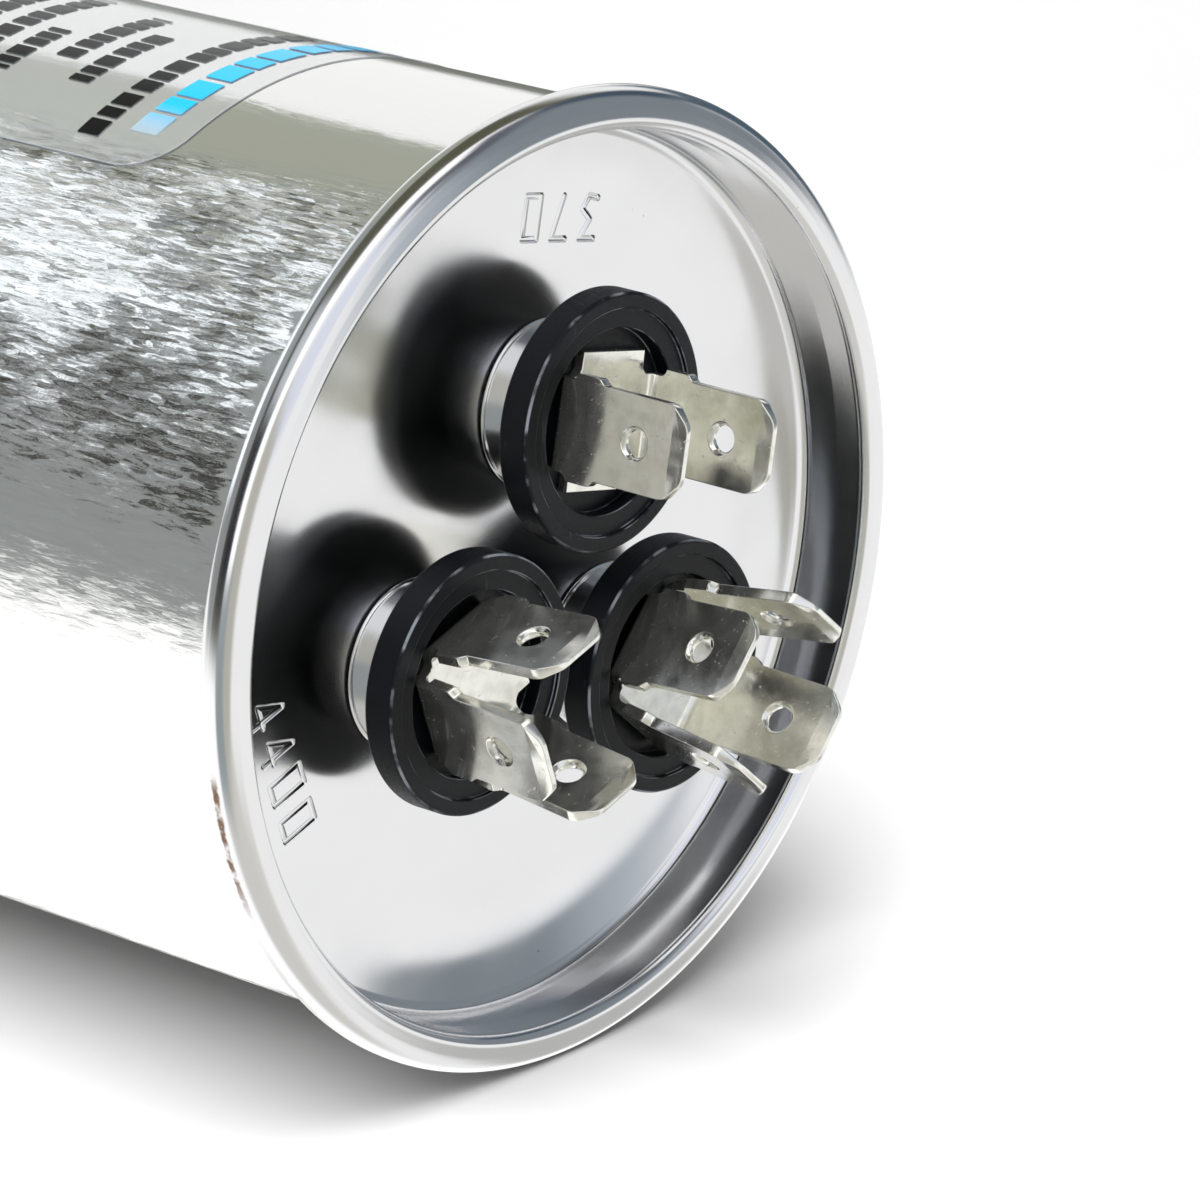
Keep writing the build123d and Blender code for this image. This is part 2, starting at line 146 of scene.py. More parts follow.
class CapacitorTabs(bpy.types.PropertyGroup):
    """Quick-connect tabs folded up from one plate."""
    sheet: length("Sheet", "Thickness", 0.8)
    width: length("Width", "Width of a tab", 6.35)
    root_width: length("Root width", "Width below the shoulder", 7.2)
    gauge: length("Gauge", "Between the middle planes of opposite tabs", 9.12)
    bend: length("Bend radius", "Root bend, on the middle line", 1.0)
    height: length("Height", "Plate to tip along the tab", 11.25)
    shoulder: length("Shoulder", "Plate to the shoulder", 3.5)
    shoulder_height: length("Shoulder slope", "Length of the shoulder", 0.5)
    chamfer: length("Tip chamfer", "Corner cut at the tip", 1.3)
    corner_rounding: length("Corner rounding", "Radius on the corners of the tip", 1.25)
    bevel: length("Tip bevel", "Length ground on both faces", 1.1)
    tip_edge: length("Tip edge", "Thickness left at the tip", 0.4)
    hole: length("Detent hole", "Diameter", 1.8)
    hole_to_tip: length("Hole to tip", "Detent hole to the tip", 4.15)
    hole_chamfer: length("Hole chamfer", "Chamfer of the detent hole", 0.25)
    stub_reach: length("Stub reach", "Plate centre to the end of a stub", 4.71)
    stub_half_width: length("Stub half width", "Half the width of a stub", 3.1)
    relief: length("Corner relief", "Radius of the relief between two sides", 1.05)
    notch: length("Notch", "Radius of the cut between the bend and the shoulder", 0.5)
    notch_height: length("Notch height", "Plate to the middle of that cut", 1.1)
    shoulder_rounding: length("Shoulder rounding", "Radius on the shoulder's corners", 0.4)
    flare: length("Flare", "How far a side widens where it joins the plate", 0.031)
    edge: length("Edge", "Rounding of the sheared edges", 0.07)
    seat: length("Seat", "Middle of the plate above the base", 105.0)


class CapacitorLabel(bpy.types.PropertyGroup):
    """Printed clear film on part of the wall."""
    start: FloatProperty(name="Start", description="Angle of one end", default=radians(-240), subtype="ANGLE")
    end: FloatProperty(name="End", description="Angle of the other end", default=radians(-60), subtype="ANGLE")
    sheet: length("Film", "Thickness", 0.08)
    lift: length("Lift", "Adhesive between can and film", 0.01)
    bottom: length("Bottom", "Lower edge above the base", 14.0)
    top_gap: length("Top gap", "Top of the seam to the upper edge", 23.0)
    corner: length("Corner", "Corner radius", 4.0)
    title: colour("Title", "Cyan ink of the upper row", "#17ADDF")
    ink: colour("Ink", "Black ink", "#08090B")


class CapacitorFinishes(bpy.types.PropertyGroup):
    """Base colours of the finishes."""
    can: colour("Can", "Drawn aluminium", "#F1F1EF")
    lid: colour("Lid", "Bright rolled aluminium", "#EBEBEC")
    phenolic: colour("Insulator", "Black phenolic", "#0A0C10")
    tin: colour("Tabs", "Tin plate", "#F3F2EA")
    stain: colour("Stain", "Brown residue on the seam", "#7A6250")


class CapacitorStage(bpy.types.PropertyGroup):
    """Floor, backdrop, light and camera."""
    surround: colour("Surround", "Paper of the floor and the backdrop", "#FFFFFF")
    floor_lift: FloatProperty(name="Floor glow", description="Share of the floor that shows without light",
                              default=0.45, min=0, max=1, subtype="FACTOR")
    sweep_lift: FloatProperty(name="Backdrop glow", description="Share of the backdrop that shows without light",
                              default=0.02, min=0, max=1, subtype="FACTOR")
    level: FloatProperty(name="Level", description="Brightness of the room in mirrors", default=1.0, min=0)
    fill: FloatProperty(name="Fill", description="Brightness of the room on matt surfaces", default=0.12, min=0)
    key: FloatProperty(name="Key", description="Power of the overhead softbox, in watts", default=15.0, min=0)
    lamp: FloatVectorProperty(name="Softbox", description="From the top of the can to the softbox", size=3,
                              subtype="TRANSLATION", unit="LENGTH", default=(0.43, -0.8, 0.24))
    lamp_size: FloatVectorProperty(name="Softbox size", description="Sides of the softbox", size=2,
                                   unit="LENGTH", default=(1.1, 0.8))
    reach: length("Reach", "Middle of the floor and of the backdrop to their edges", 1500, high_mm=5000)
    eye: FloatVectorProperty(name="Camera", description="Camera position", size=3, subtype="TRANSLATION",
                             unit="LENGTH", default=(0.3014, -0.1376, 0.3685))
    aim: FloatVectorProperty(name="Aim", description="Point that the camera looks at", size=3,
                             subtype="TRANSLATION", unit="LENGTH", default=(-0.0021, 0.00135, 0.105))
    up: FloatVectorProperty(name="Up", description="Direction towards the top of the picture", size=3,
                            default=(-0.2467, -0.9451, -0.2142))
    lens: FloatProperty(name="Lens", description="Focal length in mm on a 36 mm frame", default=191.7)


GROUPS = (CapacitorSheets, CapacitorStamps, CapacitorInsulator, CapacitorTabs, CapacitorLabel,
          CapacitorFinishes, CapacitorStage)


class CapacitorSettings(bpy.types.PropertyGroup):
    """Everything that a user can change."""
    sheets: PointerProperty(type=CapacitorSheets)
    stamps: PointerProperty(type=CapacitorStamps)
    insulator: PointerProperty(type=CapacitorInsulator)
    tabs: PointerProperty(type=CapacitorTabs)
    label: PointerProperty(type=CapacitorLabel)
    finishes: PointerProperty(type=CapacitorFinishes)
    stage: PointerProperty(type=CapacitorStage)


# ------------------------------------------------------------------ node helpers
def hex_colour(text, gain=1.0):
    """Linear RGBA from an sRGB hex value, made darker or brighter by a gain."""
    channels = [int(text[i:i + 2], 16) / 255 for i in (1, 3, 5)]
    return [gain * (c / 12.92 if c <= 0.04045 else ((c + 0.055) / 1.055) ** 2.4) for c in channels] + [1.0]


def add(tree, kind, *inputs, **settings):
    """Add a node with its settings. Its inputs come in the order of the sockets, or as one dict by name or index.
    Each is a value, an output, or a node that stands for its first output in use."""
    item = tree.nodes.new(kind if "Node" in kind else "ShaderNode" + kind)
    for name, value in settings.items():
        setattr(item, name, value)
    named = inputs[0] if inputs and isinstance(inputs[0], dict) else dict(enumerate(inputs))
    for key, value in named.items():
        if isinstance(value, bpy.types.Node):
            value = next(output for output in value.outputs if output.enabled)
        if isinstance(value, bpy.types.NodeSocket):
            tree.links.new(value, item.inputs[key])
        else:
            item.inputs[key].default_value = value
    return item


# Setting of a ramp without corners
SMOOTH = {"interpolation_type": "SMOOTHSTEP"}


def overlap(tree, share, *others):
    """What several shares between 0 and 1 have in common: their product."""
    for other in others:
        share = add(tree, "Math", share, other, operation="MULTIPLY")
    return share


def band(tree, value, rise, full, fall, gone, peak=1.0):
    """Share that rises from 0 to its peak and falls again, along a value."""
    rising = add(tree, "MapRange", value, rise, full, 0.0, peak, **SMOOTH)
    return overlap(tree, rising, add(tree, "MapRange", value, fall, gone, 1.0, 0.0, **SMOOTH))


def streaks(tree, place, stretch, feature_mm, turn=(0, 0, 0), **more):
    """Patches about feature_mm across, drawn out along the ways that have a small stretch."""
    stretched = add(tree, "Mapping", {"Vector": place, "Scale": stretch, "Rotation": turn})
    return add(tree, "TexNoise", {"Vector": stretched, "Scale": 1 / (feature_mm * MM), **more})


def heights(tree, *layers):
    """Sum of patterns, each times its height."""
    total = 0.0
    for pattern, height in layers:
        total = add(tree, "Math", pattern, height, total, operation="MULTIPLY_ADD")
    return total


def new_material(name):
    """Empty material and its tree."""
    material = bpy.data.materials.new(name)
    material.use_nodes = True
    material.node_tree.nodes.clear()
    return material, material.node_tree


# ------------------------------------------------------------------ finishes
def tilted(tree, across, along):
    """Shading normal leant by the given slopes round the can and along it."""
    normal = add(tree, "NewGeometry").outputs["Normal"]
    axis = Vector((0, 0, 1))
    side = add(tree, "VectorMath", axis, normal, operation="CROSS_PRODUCT")
    side = add(tree, "VectorMath", {0: side, "Scale": across}, operation="SCALE")
    up = add(tree, "VectorMath", {0: axis, "Scale": along}, operation="SCALE")
    lean = add(tree, "VectorMath", side, up, operation="ADD")
    lean = add(tree, "VectorMath", normal, lean, operation="ADD")
    return add(tree, "VectorMath", lean, operation="NORMALIZE")


# Layers of flecks in the drawn wall: width in millimetres, its ratio to the length along the can, and lean
FLECKS = ((0.29, 0.14, 0.85), (0.14, 0.11, 0.65), (0.7, 0.22, 0.38))


def drawn_aluminium(given):
    """Deep-drawn aluminium: the tool picked the surface up into short flecks along the axis, each lying at its
    own slant; the wall is ironed smooth beside the seam."""
    material, tree = new_material("drawn_aluminium")
    film = given.label
    place = add(tree, "TexCoord").outputs["Object"]
    x, y, height = add(tree, "SeparateXYZ", place).outputs
    angle = add(tree, "Math", y, x, operation="ARCTAN2")
    # places wander a little, so that the flecks aren't straight
    wander = streaks(tree, place, (1, 1, 0.15), 0.9).outputs["Color"]
    wander = add(tree, "VectorMath", wander, Vector((0.5, 0.5, 0.5)), operation="SUBTRACT")
    wander = add(tree, "VectorMath", {0: wander, "Scale": 0.5 * MM}, operation="SCALE")
    bent = add(tree, "VectorMath", place, wander, operation="ADD")
    slants = []
    for width, reach, pull in FLECKS:
        cells = add(tree, "Mapping", {"Vector": bent, "Scale": (1, 1, reach)})
        cells = add(tree, "TexVoronoi", {"Vector": cells, "Scale": 1 / (width * MM)})
        slants.append((add(tree, "SeparateColor", cells.outputs["Color"]).outputs, pull))
    across = along = 0.0
    for colours, pull in slants:
        around_can = add(tree, "Math", colours[0], 0.5, operation="SUBTRACT")
        along_can = add(tree, "Math", colours[1], 0.5, operation="SUBTRACT")
        across = add(tree, "Math", around_can, 0.5 * pull, across, operation="MULTIPLY_ADD")
        along = add(tree, "Math", along_can, 0.26 * pull, along, operation="MULTIPLY_ADD")
    # flecks fade out at a ragged line under the seam, on the ironed patch beside the label, and under the film
    ragged = streaks(tree, bent, (1, 1, 0.1), 1.4)
    ragged = add(tree, "Math", ragged, 4.5 * MM, height, operation="MULTIPLY_ADD")
    below_seam = add(tree, "MapRange", ragged, CASE_HEIGHT - 2.9 * MM, CASE_HEIGHT - 1.2 * MM, 1.0, 0.0, **SMOOTH)
    around = streaks(tree, bent, (1, 1, 0.2), 3.0)
    around = add(tree, "Math", around, radians(7), angle, operation="MULTIPLY_ADD")
    past_patch = add(tree, "MapRange", around, film.end - radians(4), film.end + radians(4), 0.03, 1.0, **SMOOTH)
    uncovered = add(tree, "MapRange", around, film.start + radians(360), film.start + radians(366), 1.0, 0.3,
                    **SMOOTH)
    # broad blotches where the flecks lean up or down together
    blotches = streaks(tree, place, (1, 1, 0.7), 11.0, Detail=3.0)
    along = add(tree, "Math", along, add(tree, "MapRange", blotches, 0.38, 0.6, 0.05, -0.12, **SMOOTH),
                operation="ADD")
    # one broad zone where the flecks lean down and look pale
    near_top = add(tree, "MapRange", height, CASE_HEIGHT - 26 * MM, CASE_HEIGHT - 8 * MM, 1.0, 0.3, **SMOOTH)
    pale = overlap(tree, band(tree, around, radians(-56), radians(-47), radians(-40), radians(-29)), near_top)
    along = add(tree, "Math", pale, -0.17, along, operation="MULTIPLY_ADD")
    # and a calm side
    calm = add(tree, "MapRange", angle, radians(-32), radians(-14), 1.0, 0.15, **SMOOTH)
    busy = add(tree, "MapRange", blotches, 0.3, 0.55, 0.75, 1.0, **SMOOTH)
    strength = overlap(tree, below_seam, past_patch, uncovered, busy, calm)
    normal = tilted(tree, overlap(tree, across, strength), overlap(tree, along, strength))
    grain = streaks(tree, bent, (1, 1, 0.2), 0.16, Detail=3.0, Roughness=0.6)
    bump = add(tree, "Bump", {"Height": grain, "Distance": 0.06 * MM, "Normal": normal,
                              "Strength": add(tree, "Math", strength, 0.85, 0.02, operation="MULTIPLY_ADD")})
    roughness = add(tree, "MapRange", strength, 0.0, 1.0, 0.09, 0.19, **SMOOTH)
    bare, dull = hex_colour(given.finishes.can), hex_colour(given.finishes.can, 0.8)
    fleck_tone = add(tree, "MapRange", slants[0][0][2], 0.0, 1.0, **SMOOTH)
    sheen = add(tree, "Mix", {0: fleck_tone, 6: dull, 7: bare}, data_type="RGBA")
    sheen = add(tree, "Mix", {0: strength, 6: bare, 7: sheen}, data_type="RGBA")
    add(tree, "OutputMaterial", add(tree, "BsdfPrincipled", {"Base Color": sheen, "Metallic": 1.0,
                                                             "Roughness": roughness, "Normal": bump}))
    return material


def bright_aluminium(given):
    """Bright rolled lid stock: a near mirror with faint rolling lines, a slow waviness that bends
    reflections, and a few specks where dust was pressed in."""
    material, tree = new_material("bright_rolled_aluminium")
    place = add(tree, "TexCoord").outputs["Object"]
    x, y, height = add(tree, "SeparateXYZ", place).outputs
    angle = add(tree, "Math", y, x, operation="ARCTAN2")
    outward = add(tree, "VectorMath", place, Vector((1, 1, 0)), operation="MULTIPLY")
    radius = add(tree, "VectorMath", outward, operation="LENGTH")
    outward = add(tree, "VectorMath", outward, operation="NORMALIZE")
    waves = add(tree, "TexNoise", {"Vector": place, "Scale": 1 / (14 * MM), "Detail": 1.0})
    lines = streaks(tree, place, (1, 0.03, 1), 0.5, (0, 0, radians(40)))
    pits = add(tree, "TexVoronoi", {"Vector": place, "Scale": 1 / (3.2 * MM)})
    pits = add(tree, "MapRange", pits, 0.0, 0.035, 1.0, 0.0, **SMOOTH)
    relief = heights(tree, (waves, 0.5), (lines, 0.0015), (pits, -0.02))
    # the press dished the panel a little towards its rim, most on one side
    dished_side = add(tree, "Math", angle, radians(110), operation="SUBTRACT")
    dished_side = add(tree, "Math", dished_side, operation="COSINE")
    dish = overlap(tree, add(tree, "MapRange", radius, 22.5 * MM, 29.2 * MM, 0.0, -0.36, **SMOOTH),
                   add(tree, "MapRange", dished_side, 0.1, 0.85, 0.36, 1.0, **SMOOTH),
                   add(tree, "MapRange", radius, 30.0 * MM, 30.4 * MM, 1.0, 0.0, **SMOOTH))
    # and the seaming roll rounded the top of the seam off outwards
    rolled = add(tree, "MapRange", radius, 30.8 * MM, 31.0 * MM, 0.0, 0.15, **SMOOTH)
    normal = add(tree, "NewGeometry").outputs["Normal"]
    flat = add(tree, "MapRange", add(tree, "SeparateXYZ", normal).outputs[2], 0.9, 0.99, **SMOOTH)
    amount = overlap(tree, add(tree, "Math", dish, rolled, operation="ADD"), flat)
    lean = add(tree, "VectorMath", {0: outward, "Scale": amount}, operation="SCALE")
    lean = add(tree, "VectorMath", normal, lean, operation="ADD")
    lean = add(tree, "VectorMath", lean, operation="NORMALIZE")
    bump = add(tree, "Bump", {"Height": relief, "Distance": 0.12 * MM, "Strength": 1.0, "Normal": lean})
    smears = add(tree, "TexNoise", {"Vector": place, "Scale": 1 / (7 * MM), "Detail": 3.0})
    roughness = add(tree, "MapRange", smears, 0.3, 0.7, 0.13, 0.19, **SMOOTH)
    bare, pitted = hex_colour(given.finishes.lid), hex_colour(given.finishes.lid, 0.35)
    base = add(tree, "Mix", {0: pits, 6: bare, 7: pitted}, data_type="RGBA")
    # old residue in a line along the seam's outer wall, where it ran down and dried
    ragged = add(tree, "TexNoise", {"Vector": place, "Scale": 1 / (0.6 * MM)})
    ragged = add(tree, "Math", ragged, 0.4 * MM, height, operation="MULTIPLY_ADD")
    outside = add(tree, "MapRange", radius, SEAM_RADIUS - 0.4 * MM, SEAM_RADIUS - 0.3 * MM, **SMOOTH)
    line = band(tree, ragged, *[CASE_HEIGHT - drop * MM for drop in (1.7, 1.5, 1.25, 1.05)])
    reach = band(tree, angle, radians(6.5), radians(9.5), radians(19), radians(29))
    patchy = add(tree, "TexNoise", {"Vector": place, "Scale": 1 / (1.2 * MM), "Detail": 4.0})
    patchy = add(tree, "MapRange", patchy, 0.32, 0.52, 0.1, 1.0, **SMOOTH)
    stain = overlap(tree, line, reach, outside, patchy)
    # and a fainter brownish band beyond the line's end, low on the seam's outer wall, reaching round to where the seam
    # touches the backdrop
    fainter_band = band(tree, angle, radians(26), radians(40), radians(78), radians(92), 0.4)
    below = add(tree, "MapRange", ragged, CASE_HEIGHT - 1.6 * MM, CASE_HEIGHT - 1.2 * MM, 1.0, 0.0, **SMOOTH)
    stain = add(tree, "Math", stain, overlap(tree, fainter_band, outside, below), operation="MAXIMUM")
    base = add(tree, "Mix", {0: stain, 6: base, 7: hex_colour(given.finishes.stain)}, data_type="RGBA")
    add(tree, "OutputMaterial", add(tree, "BsdfPrincipled", {"Base Color": base, "Metallic": 1.0,
                                                             "Roughness": roughness, "Normal": bump}))
    return material


def black_phenolic(given):
    """Phenolic pressed from black powder: satin, with pale hairline scratches, and scuffed rims whose pale paint is
    partly rub wear and partly a painted highlight.
    """
    material, tree = new_material("black_phenolic")
    place = add(tree, "TexCoord").outputs["Object"]
    grain = add(tree, "TexNoise", {"Vector": place, "Scale": 1 / (0.25 * MM), "Detail": 3.0})
    scuffs = streaks(tree, place, (1, 0.12, 0.5), 0.9, (0, 0, radians(25)), Detail=4.0)
    worn = add(tree, "MapRange", scuffs, 0.66, 0.74, **SMOOTH)
    # the rounded rims that face partly upwards are painted paler in patches: partly rub wear, partly a painted
    # highlight on their bends
    facing = add(tree, "SeparateXYZ", add(tree, "NewGeometry").outputs["Normal"]).outputs[2]
    patches = add(tree, "TexNoise", {"Vector": place, "Scale": 1 / (2.2 * MM), "Detail": 4.0})
    patches = add(tree, "MapRange", patches, 0.42, 0.62, **SMOOTH)
    rub_and_painted_highlight = overlap(tree, band(tree, facing, 0.2, 0.5, 0.85, 0.97), patches)
    base = add(tree, "Mix", {0: overlap(tree, worn, 0.25), 6: hex_colour(given.finishes.phenolic),
                             7: hex_colour("#5A5D62")}, data_type="RGBA")
    # painted highlight and rub wear: pale grey mixed onto those upward-facing rims
    base = add(tree, "Mix", {0: overlap(tree, rub_and_painted_highlight, 0.7), 6: base, 7: hex_colour("#8F959B")}, data_type="RGBA")
    roughness = add(tree, "MapRange", grain, 0.3, 0.7, 0.32, 0.46, **SMOOTH)
    bump = add(tree, "Bump", {"Height": grain, "Distance": 0.01 * MM, "Strength": 0.5})
    add(tree, "OutputMaterial", add(tree, "BsdfPrincipled", {
        "Base Color": base, "Roughness": roughness, "IOR": 1.5, "Specular IOR Level": 0.22, "Normal": bump}))
    return material


def tinned_brass(given):
    """Brass strip plated with bright tin: mirror-like and slightly warm, scuffed where it was handled."""
    material, tree = new_material("tinned_brass")
    place = add(tree, "TexCoord").outputs["Object"]
    waves = add(tree, "TexNoise", {"Vector": place, "Scale": 1 / (5 * MM), "Detail": 1.0})
    scratches = streaks(tree, place, (0.25, 1, 0.7), 0.35, (radians(20), radians(30), radians(15)), Detail=4.0,
                        Roughness=0.65)
    marks = add(tree, "MapRange", scratches, 0.62, 0.7, **SMOOTH)
    dents = add(tree, "TexVoronoi", {"Vector": place, "Scale": 1 / (1.6 * MM)})
    dents = add(tree, "MapRange", dents, 0.0, 0.09, 1.0, 0.0, **SMOOTH)
    relief = heights(tree, (waves, 0.8), (marks, 0.08), (dents, -0.35))
    bump = add(tree, "Bump", {"Height": relief, "Distance": 0.06 * MM, "Strength": 1.0})
    smears = add(tree, "TexNoise", {"Vector": place, "Scale": 1 / (2 * MM)})
    smears = add(tree, "MapRange", smears, 0.3, 0.7, 0.12, 0.22, **SMOOTH)
    roughness = add(tree, "Math", marks, 0.12, smears, operation="MULTIPLY_ADD")
    clouds = add(tree, "TexNoise", {"Vector": place, "Scale": 1 / (1.2 * MM), "Detail": 3.0})
    clouds = add(tree, "MapRange", clouds, 0.4, 0.7, **SMOOTH)
    base = add(tree, "Mix", {0: clouds, 6: hex_colour(given.finishes.tin), 7: hex_colour(given.finishes.tin, 0.88)},
               data_type="RGBA")
    add(tree, "OutputMaterial", add(tree, "BsdfPrincipled", {"Base Color": base, "Metallic": 0.965,
                                                             "Roughness": roughness, "Normal": bump}))
    return material


# Rows of printed blocks in the black ink, in millimetres: first and last place, upper edge, width of a block
PRINTED_ROWS = ((7.0, 15.5, 12.4, 0.9), (9.5, 19.0, 16.0, 0.9), (6.5, 13.0, 19.8, 0.8), (8.0, 21.0, 23.4, 1.0),
                (12.0, 24.0, 27.2, 0.9), (9.0, 18.5, 31.0, 0.8), (7.5, 22.5, 34.8, 1.0), (11.0, 20.0, 38.6, 0.9))


def printed_film(label):
    """Clear polyester film, printed on its face: the metal shows through, a little milky, and plain
    blocks of cyan and black ink stand for the rating text. UV runs in metres round the can and down it."""
    material, tree = new_material("printed_polyester_film")
    along, down, _ = add(tree, "SeparateXYZ", add(tree, "UVMap", uv_map="print")).outputs

    def blocks(first, last, low, high, step, gap):
        """Row of plain blocks of slightly different widths, in millimetres from the film's printed corner."""
        sides = [add(tree, "Math", value, end * MM, operation=test)
                 for value, end, test in ((along, first, "GREATER_THAN"), (along, last, "LESS_THAN"),
                                          (down, low, "GREATER_THAN"), (down, high, "LESS_THAN"))]
        sway = add(tree, "Math", overlap(tree, along, 2.3 / (step * MM)), operation="SINE")
        beat = add(tree, "Math", along, 1 / (step * MM), overlap(tree, sway, 0.12), operation="MULTIPLY_ADD")
        beat = add(tree, "Math", beat, operation="FRACT")
        return overlap(tree, *sides, add(tree, "Math", beat, gap, operation="GREATER_THAN"))

    title = blocks(3.4, 44.0, 2.7, 5.1, 2.6, 0.17)
    ink = blocks(1.8, 24.0, 7.0, 8.9, 1.75, 0.24)
    for first, last, low, step in PRINTED_ROWS:
        ink = add(tree, "Math", ink, blocks(first, last, low, low + 1.9, step * 1.7, 0.26), operation="MAXIMUM")
    # the title's ink is worn thin towards the free end of the film
    title = overlap(tree, title, add(tree, "MapRange", along, 3.2 * MM, 7.0 * MM, 0.3, 1.0, **SMOOTH))
    face = add(tree, "Mix", {0: title, 6: hex_colour("#DDE2E4"), 7: hex_colour(label.title)}, data_type="RGBA")
    face = add(tree, "Mix", {0: ink, 6: face, 7: hex_colour(label.ink)}, data_type="RGBA")
    printed = add(tree, "Math", title, ink, operation="MAXIMUM")
    # the cut edge shows as a thin dark line
    to_corner = []
    for value in (along, down):
        short = add(tree, "Math", label.corner, value, operation="SUBTRACT")
        short = add(tree, "Math", short, 0.0, operation="MAXIMUM")
        to_corner.append(overlap(tree, short, short))
    to_corner = add(tree, "Math", add(tree, "Math", *to_corner, operation="ADD"), operation="SQRT")
    inside = add(tree, "Math", label.corner, to_corner, operation="SUBTRACT")
    rim = add(tree, "MapRange", inside, 0.05 * MM, 0.22 * MM, 0.6, 0.0, **SMOOTH)
    face = add(tree, "Mix", {0: rim, 6: face, 7: hex_colour("#2C3A46")}, data_type="RGBA")
    cover = add(tree, "Math", printed, 0.88, 0.1, operation="MULTIPLY_ADD")
    cover = add(tree, "Math", cover, rim, operation="MAXIMUM")
    add(tree, "OutputMaterial", add(tree, "BsdfPrincipled", {
        "Base Color": face, "Alpha": cover, "Roughness": 0.22, "IOR": 1.4, "Specular IOR Level": 0.2}))
    return material


def plain_finish(name, hex_value, roughness, metallic, grain_mm, depth_mm):
    """Finish of a piece inside the can: its own colour, a grain of its own size and a shallow bump."""
    material, tree = new_material(name)
    place = add(tree, "TexCoord").outputs["Object"]
    grain = add(tree, "TexNoise", {"Vector": place, "Scale": 1 / (grain_mm * MM), "Detail": 3.0})
    base = add(tree, "Mix", {0: grain, 6: hex_colour(hex_value, 0.85), 7: hex_colour(hex_value)}, data_type="RGBA")
    rough = add(tree, "MapRange", grain, 0.3, 0.7, roughness * 0.85, roughness * 1.15, **SMOOTH)
    bump = add(tree, "Bump", {"Height": grain, "Distance": depth_mm * MM, "Strength": 0.6})
    add(tree, "OutputMaterial", add(tree, "BsdfPrincipled", {"Base Color": base, "Metallic": metallic,
                                                             "Roughness": rough, "Normal": bump}))
    return material


# Pieces that the can hides: name, colour, roughness, metallic, grain and bump in millimetres
HIDDEN_FINISHES = {
    "sealing_compound": ("#292725", 0.7, 0.0, 0.3, 0.02),
    "core_plastic": ("#DAD8CE", 0.4, 0.0, 1.0, 0.01),
    "metallised_film": ("#A6A9AE", 0.25, 1.0, 0.2, 0.02),
    "clear_wrap": ("#CFCFC8", 0.3, 0.0, 2.0, 0.02),
    "sprayed_zinc": ("#85878A", 0.6, 1.0, 0.15, 0.06),
    "tinned_copper": ("#C9C4B8", 0.3, 1.0, 0.5, 0.01),
    "moulded_polypropylene": ("#D6D6D2", 0.45, 0.0, 0.6, 0.02),
    "stud_brass": ("#CDB878", 0.3, 1.0, 0.4, 0.01),
    "washer_phenolic": ("#4A2E1C", 0.5, 0.0, 0.4, 0.02),
    "lead_insulation": ("#C4C4BC", 0.45, 0.0, 0.8, 0.01),
}


# ------------------------------------------------------------------ outlines
# Gap between sheets that don't touch, and how far from the ends of a long straight its extra points lie
GAP = 0.05 * MM
SHEET_SUPPORT = 0.06 * MM
RING_SUPPORT = 0.05 * MM


def rounded(points, radii, steps=7):
    """Line with an arc at each inner corner: a list of (point, normal to its left)."""
    points = [Vector(p) for p in points]
    first_way = (points[1] - points[0]).normalized()
    run = [(points[0], Vector((-first_way.y, first_way.x)))]
    for index in range(1, len(points) - 1):
        corner, radius = points[index], radii[index - 1]
        before = (corner - points[index - 1]).normalized()
        after = (points[index + 1] - corner).normalized()
        normal = Vector((-before.y, before.x))
        turn = -before.angle_signed(after)
        if radius == 0 or abs(turn) < 1e-6:
            run.append((corner, normal))
            continue
        start = corner - before * radius * tan(abs(turn) / 2)
        centre = start + normal * radius * (1 if turn > 0 else -1)
        count = max(2, round(steps * abs(turn) / (pi / 2)))
        for step in range(count + 1):
            spin = Matrix.Rotation(turn * step / count, 2)
            run.append((centre + spin @ (start - centre), spin @ normal))
    last_way = (points[-1] - points[-2]).normalized()
    run.append((points[-1], Vector((-last_way.y, last_way.x))))
    return [run[0]] + [b for a, b in zip(run, run[1:]) if (b[0] - a[0]).length > 2e-6]


def with_supports(line, gap):
    """Extra points close to each end of a long straight, so that its shading stays flat."""
    result = [line[0]]
    for (first, normal), (last, other) in zip(line, line[1:]):
        span = (last - first).length
        if span > 3 * gap:
            way = (last - first) / span
            result += [(first + way * gap, normal), (last - way * gap, other)]
        result.append((last, other))
    return result


def sheet_faces(points, radii, thickness, steps=7):
    """The two faces of a folded sheet, as points to the right and to the left of its middle line."""
    line = with_supports(rounded(points, radii, steps), SHEET_SUPPORT)
    return [p - n * thickness / 2 for p, n in line], [p + n * thickness / 2 for p, n in line]


def rounded_ring(points, radii, steps=5):
    """Closed outline whose first and last points are the same plain corner."""
    line = with_supports(rounded(points + points[:1], radii, steps), RING_SUPPORT)
    return [p for p, _ in line]


# ------------------------------------------------------------------ turned shells
# Points closer than this are one point: in a turned shell, and once its pieces lie side by side
SAME_PLACE = 0.5e-6
WELD = 0.6e-6


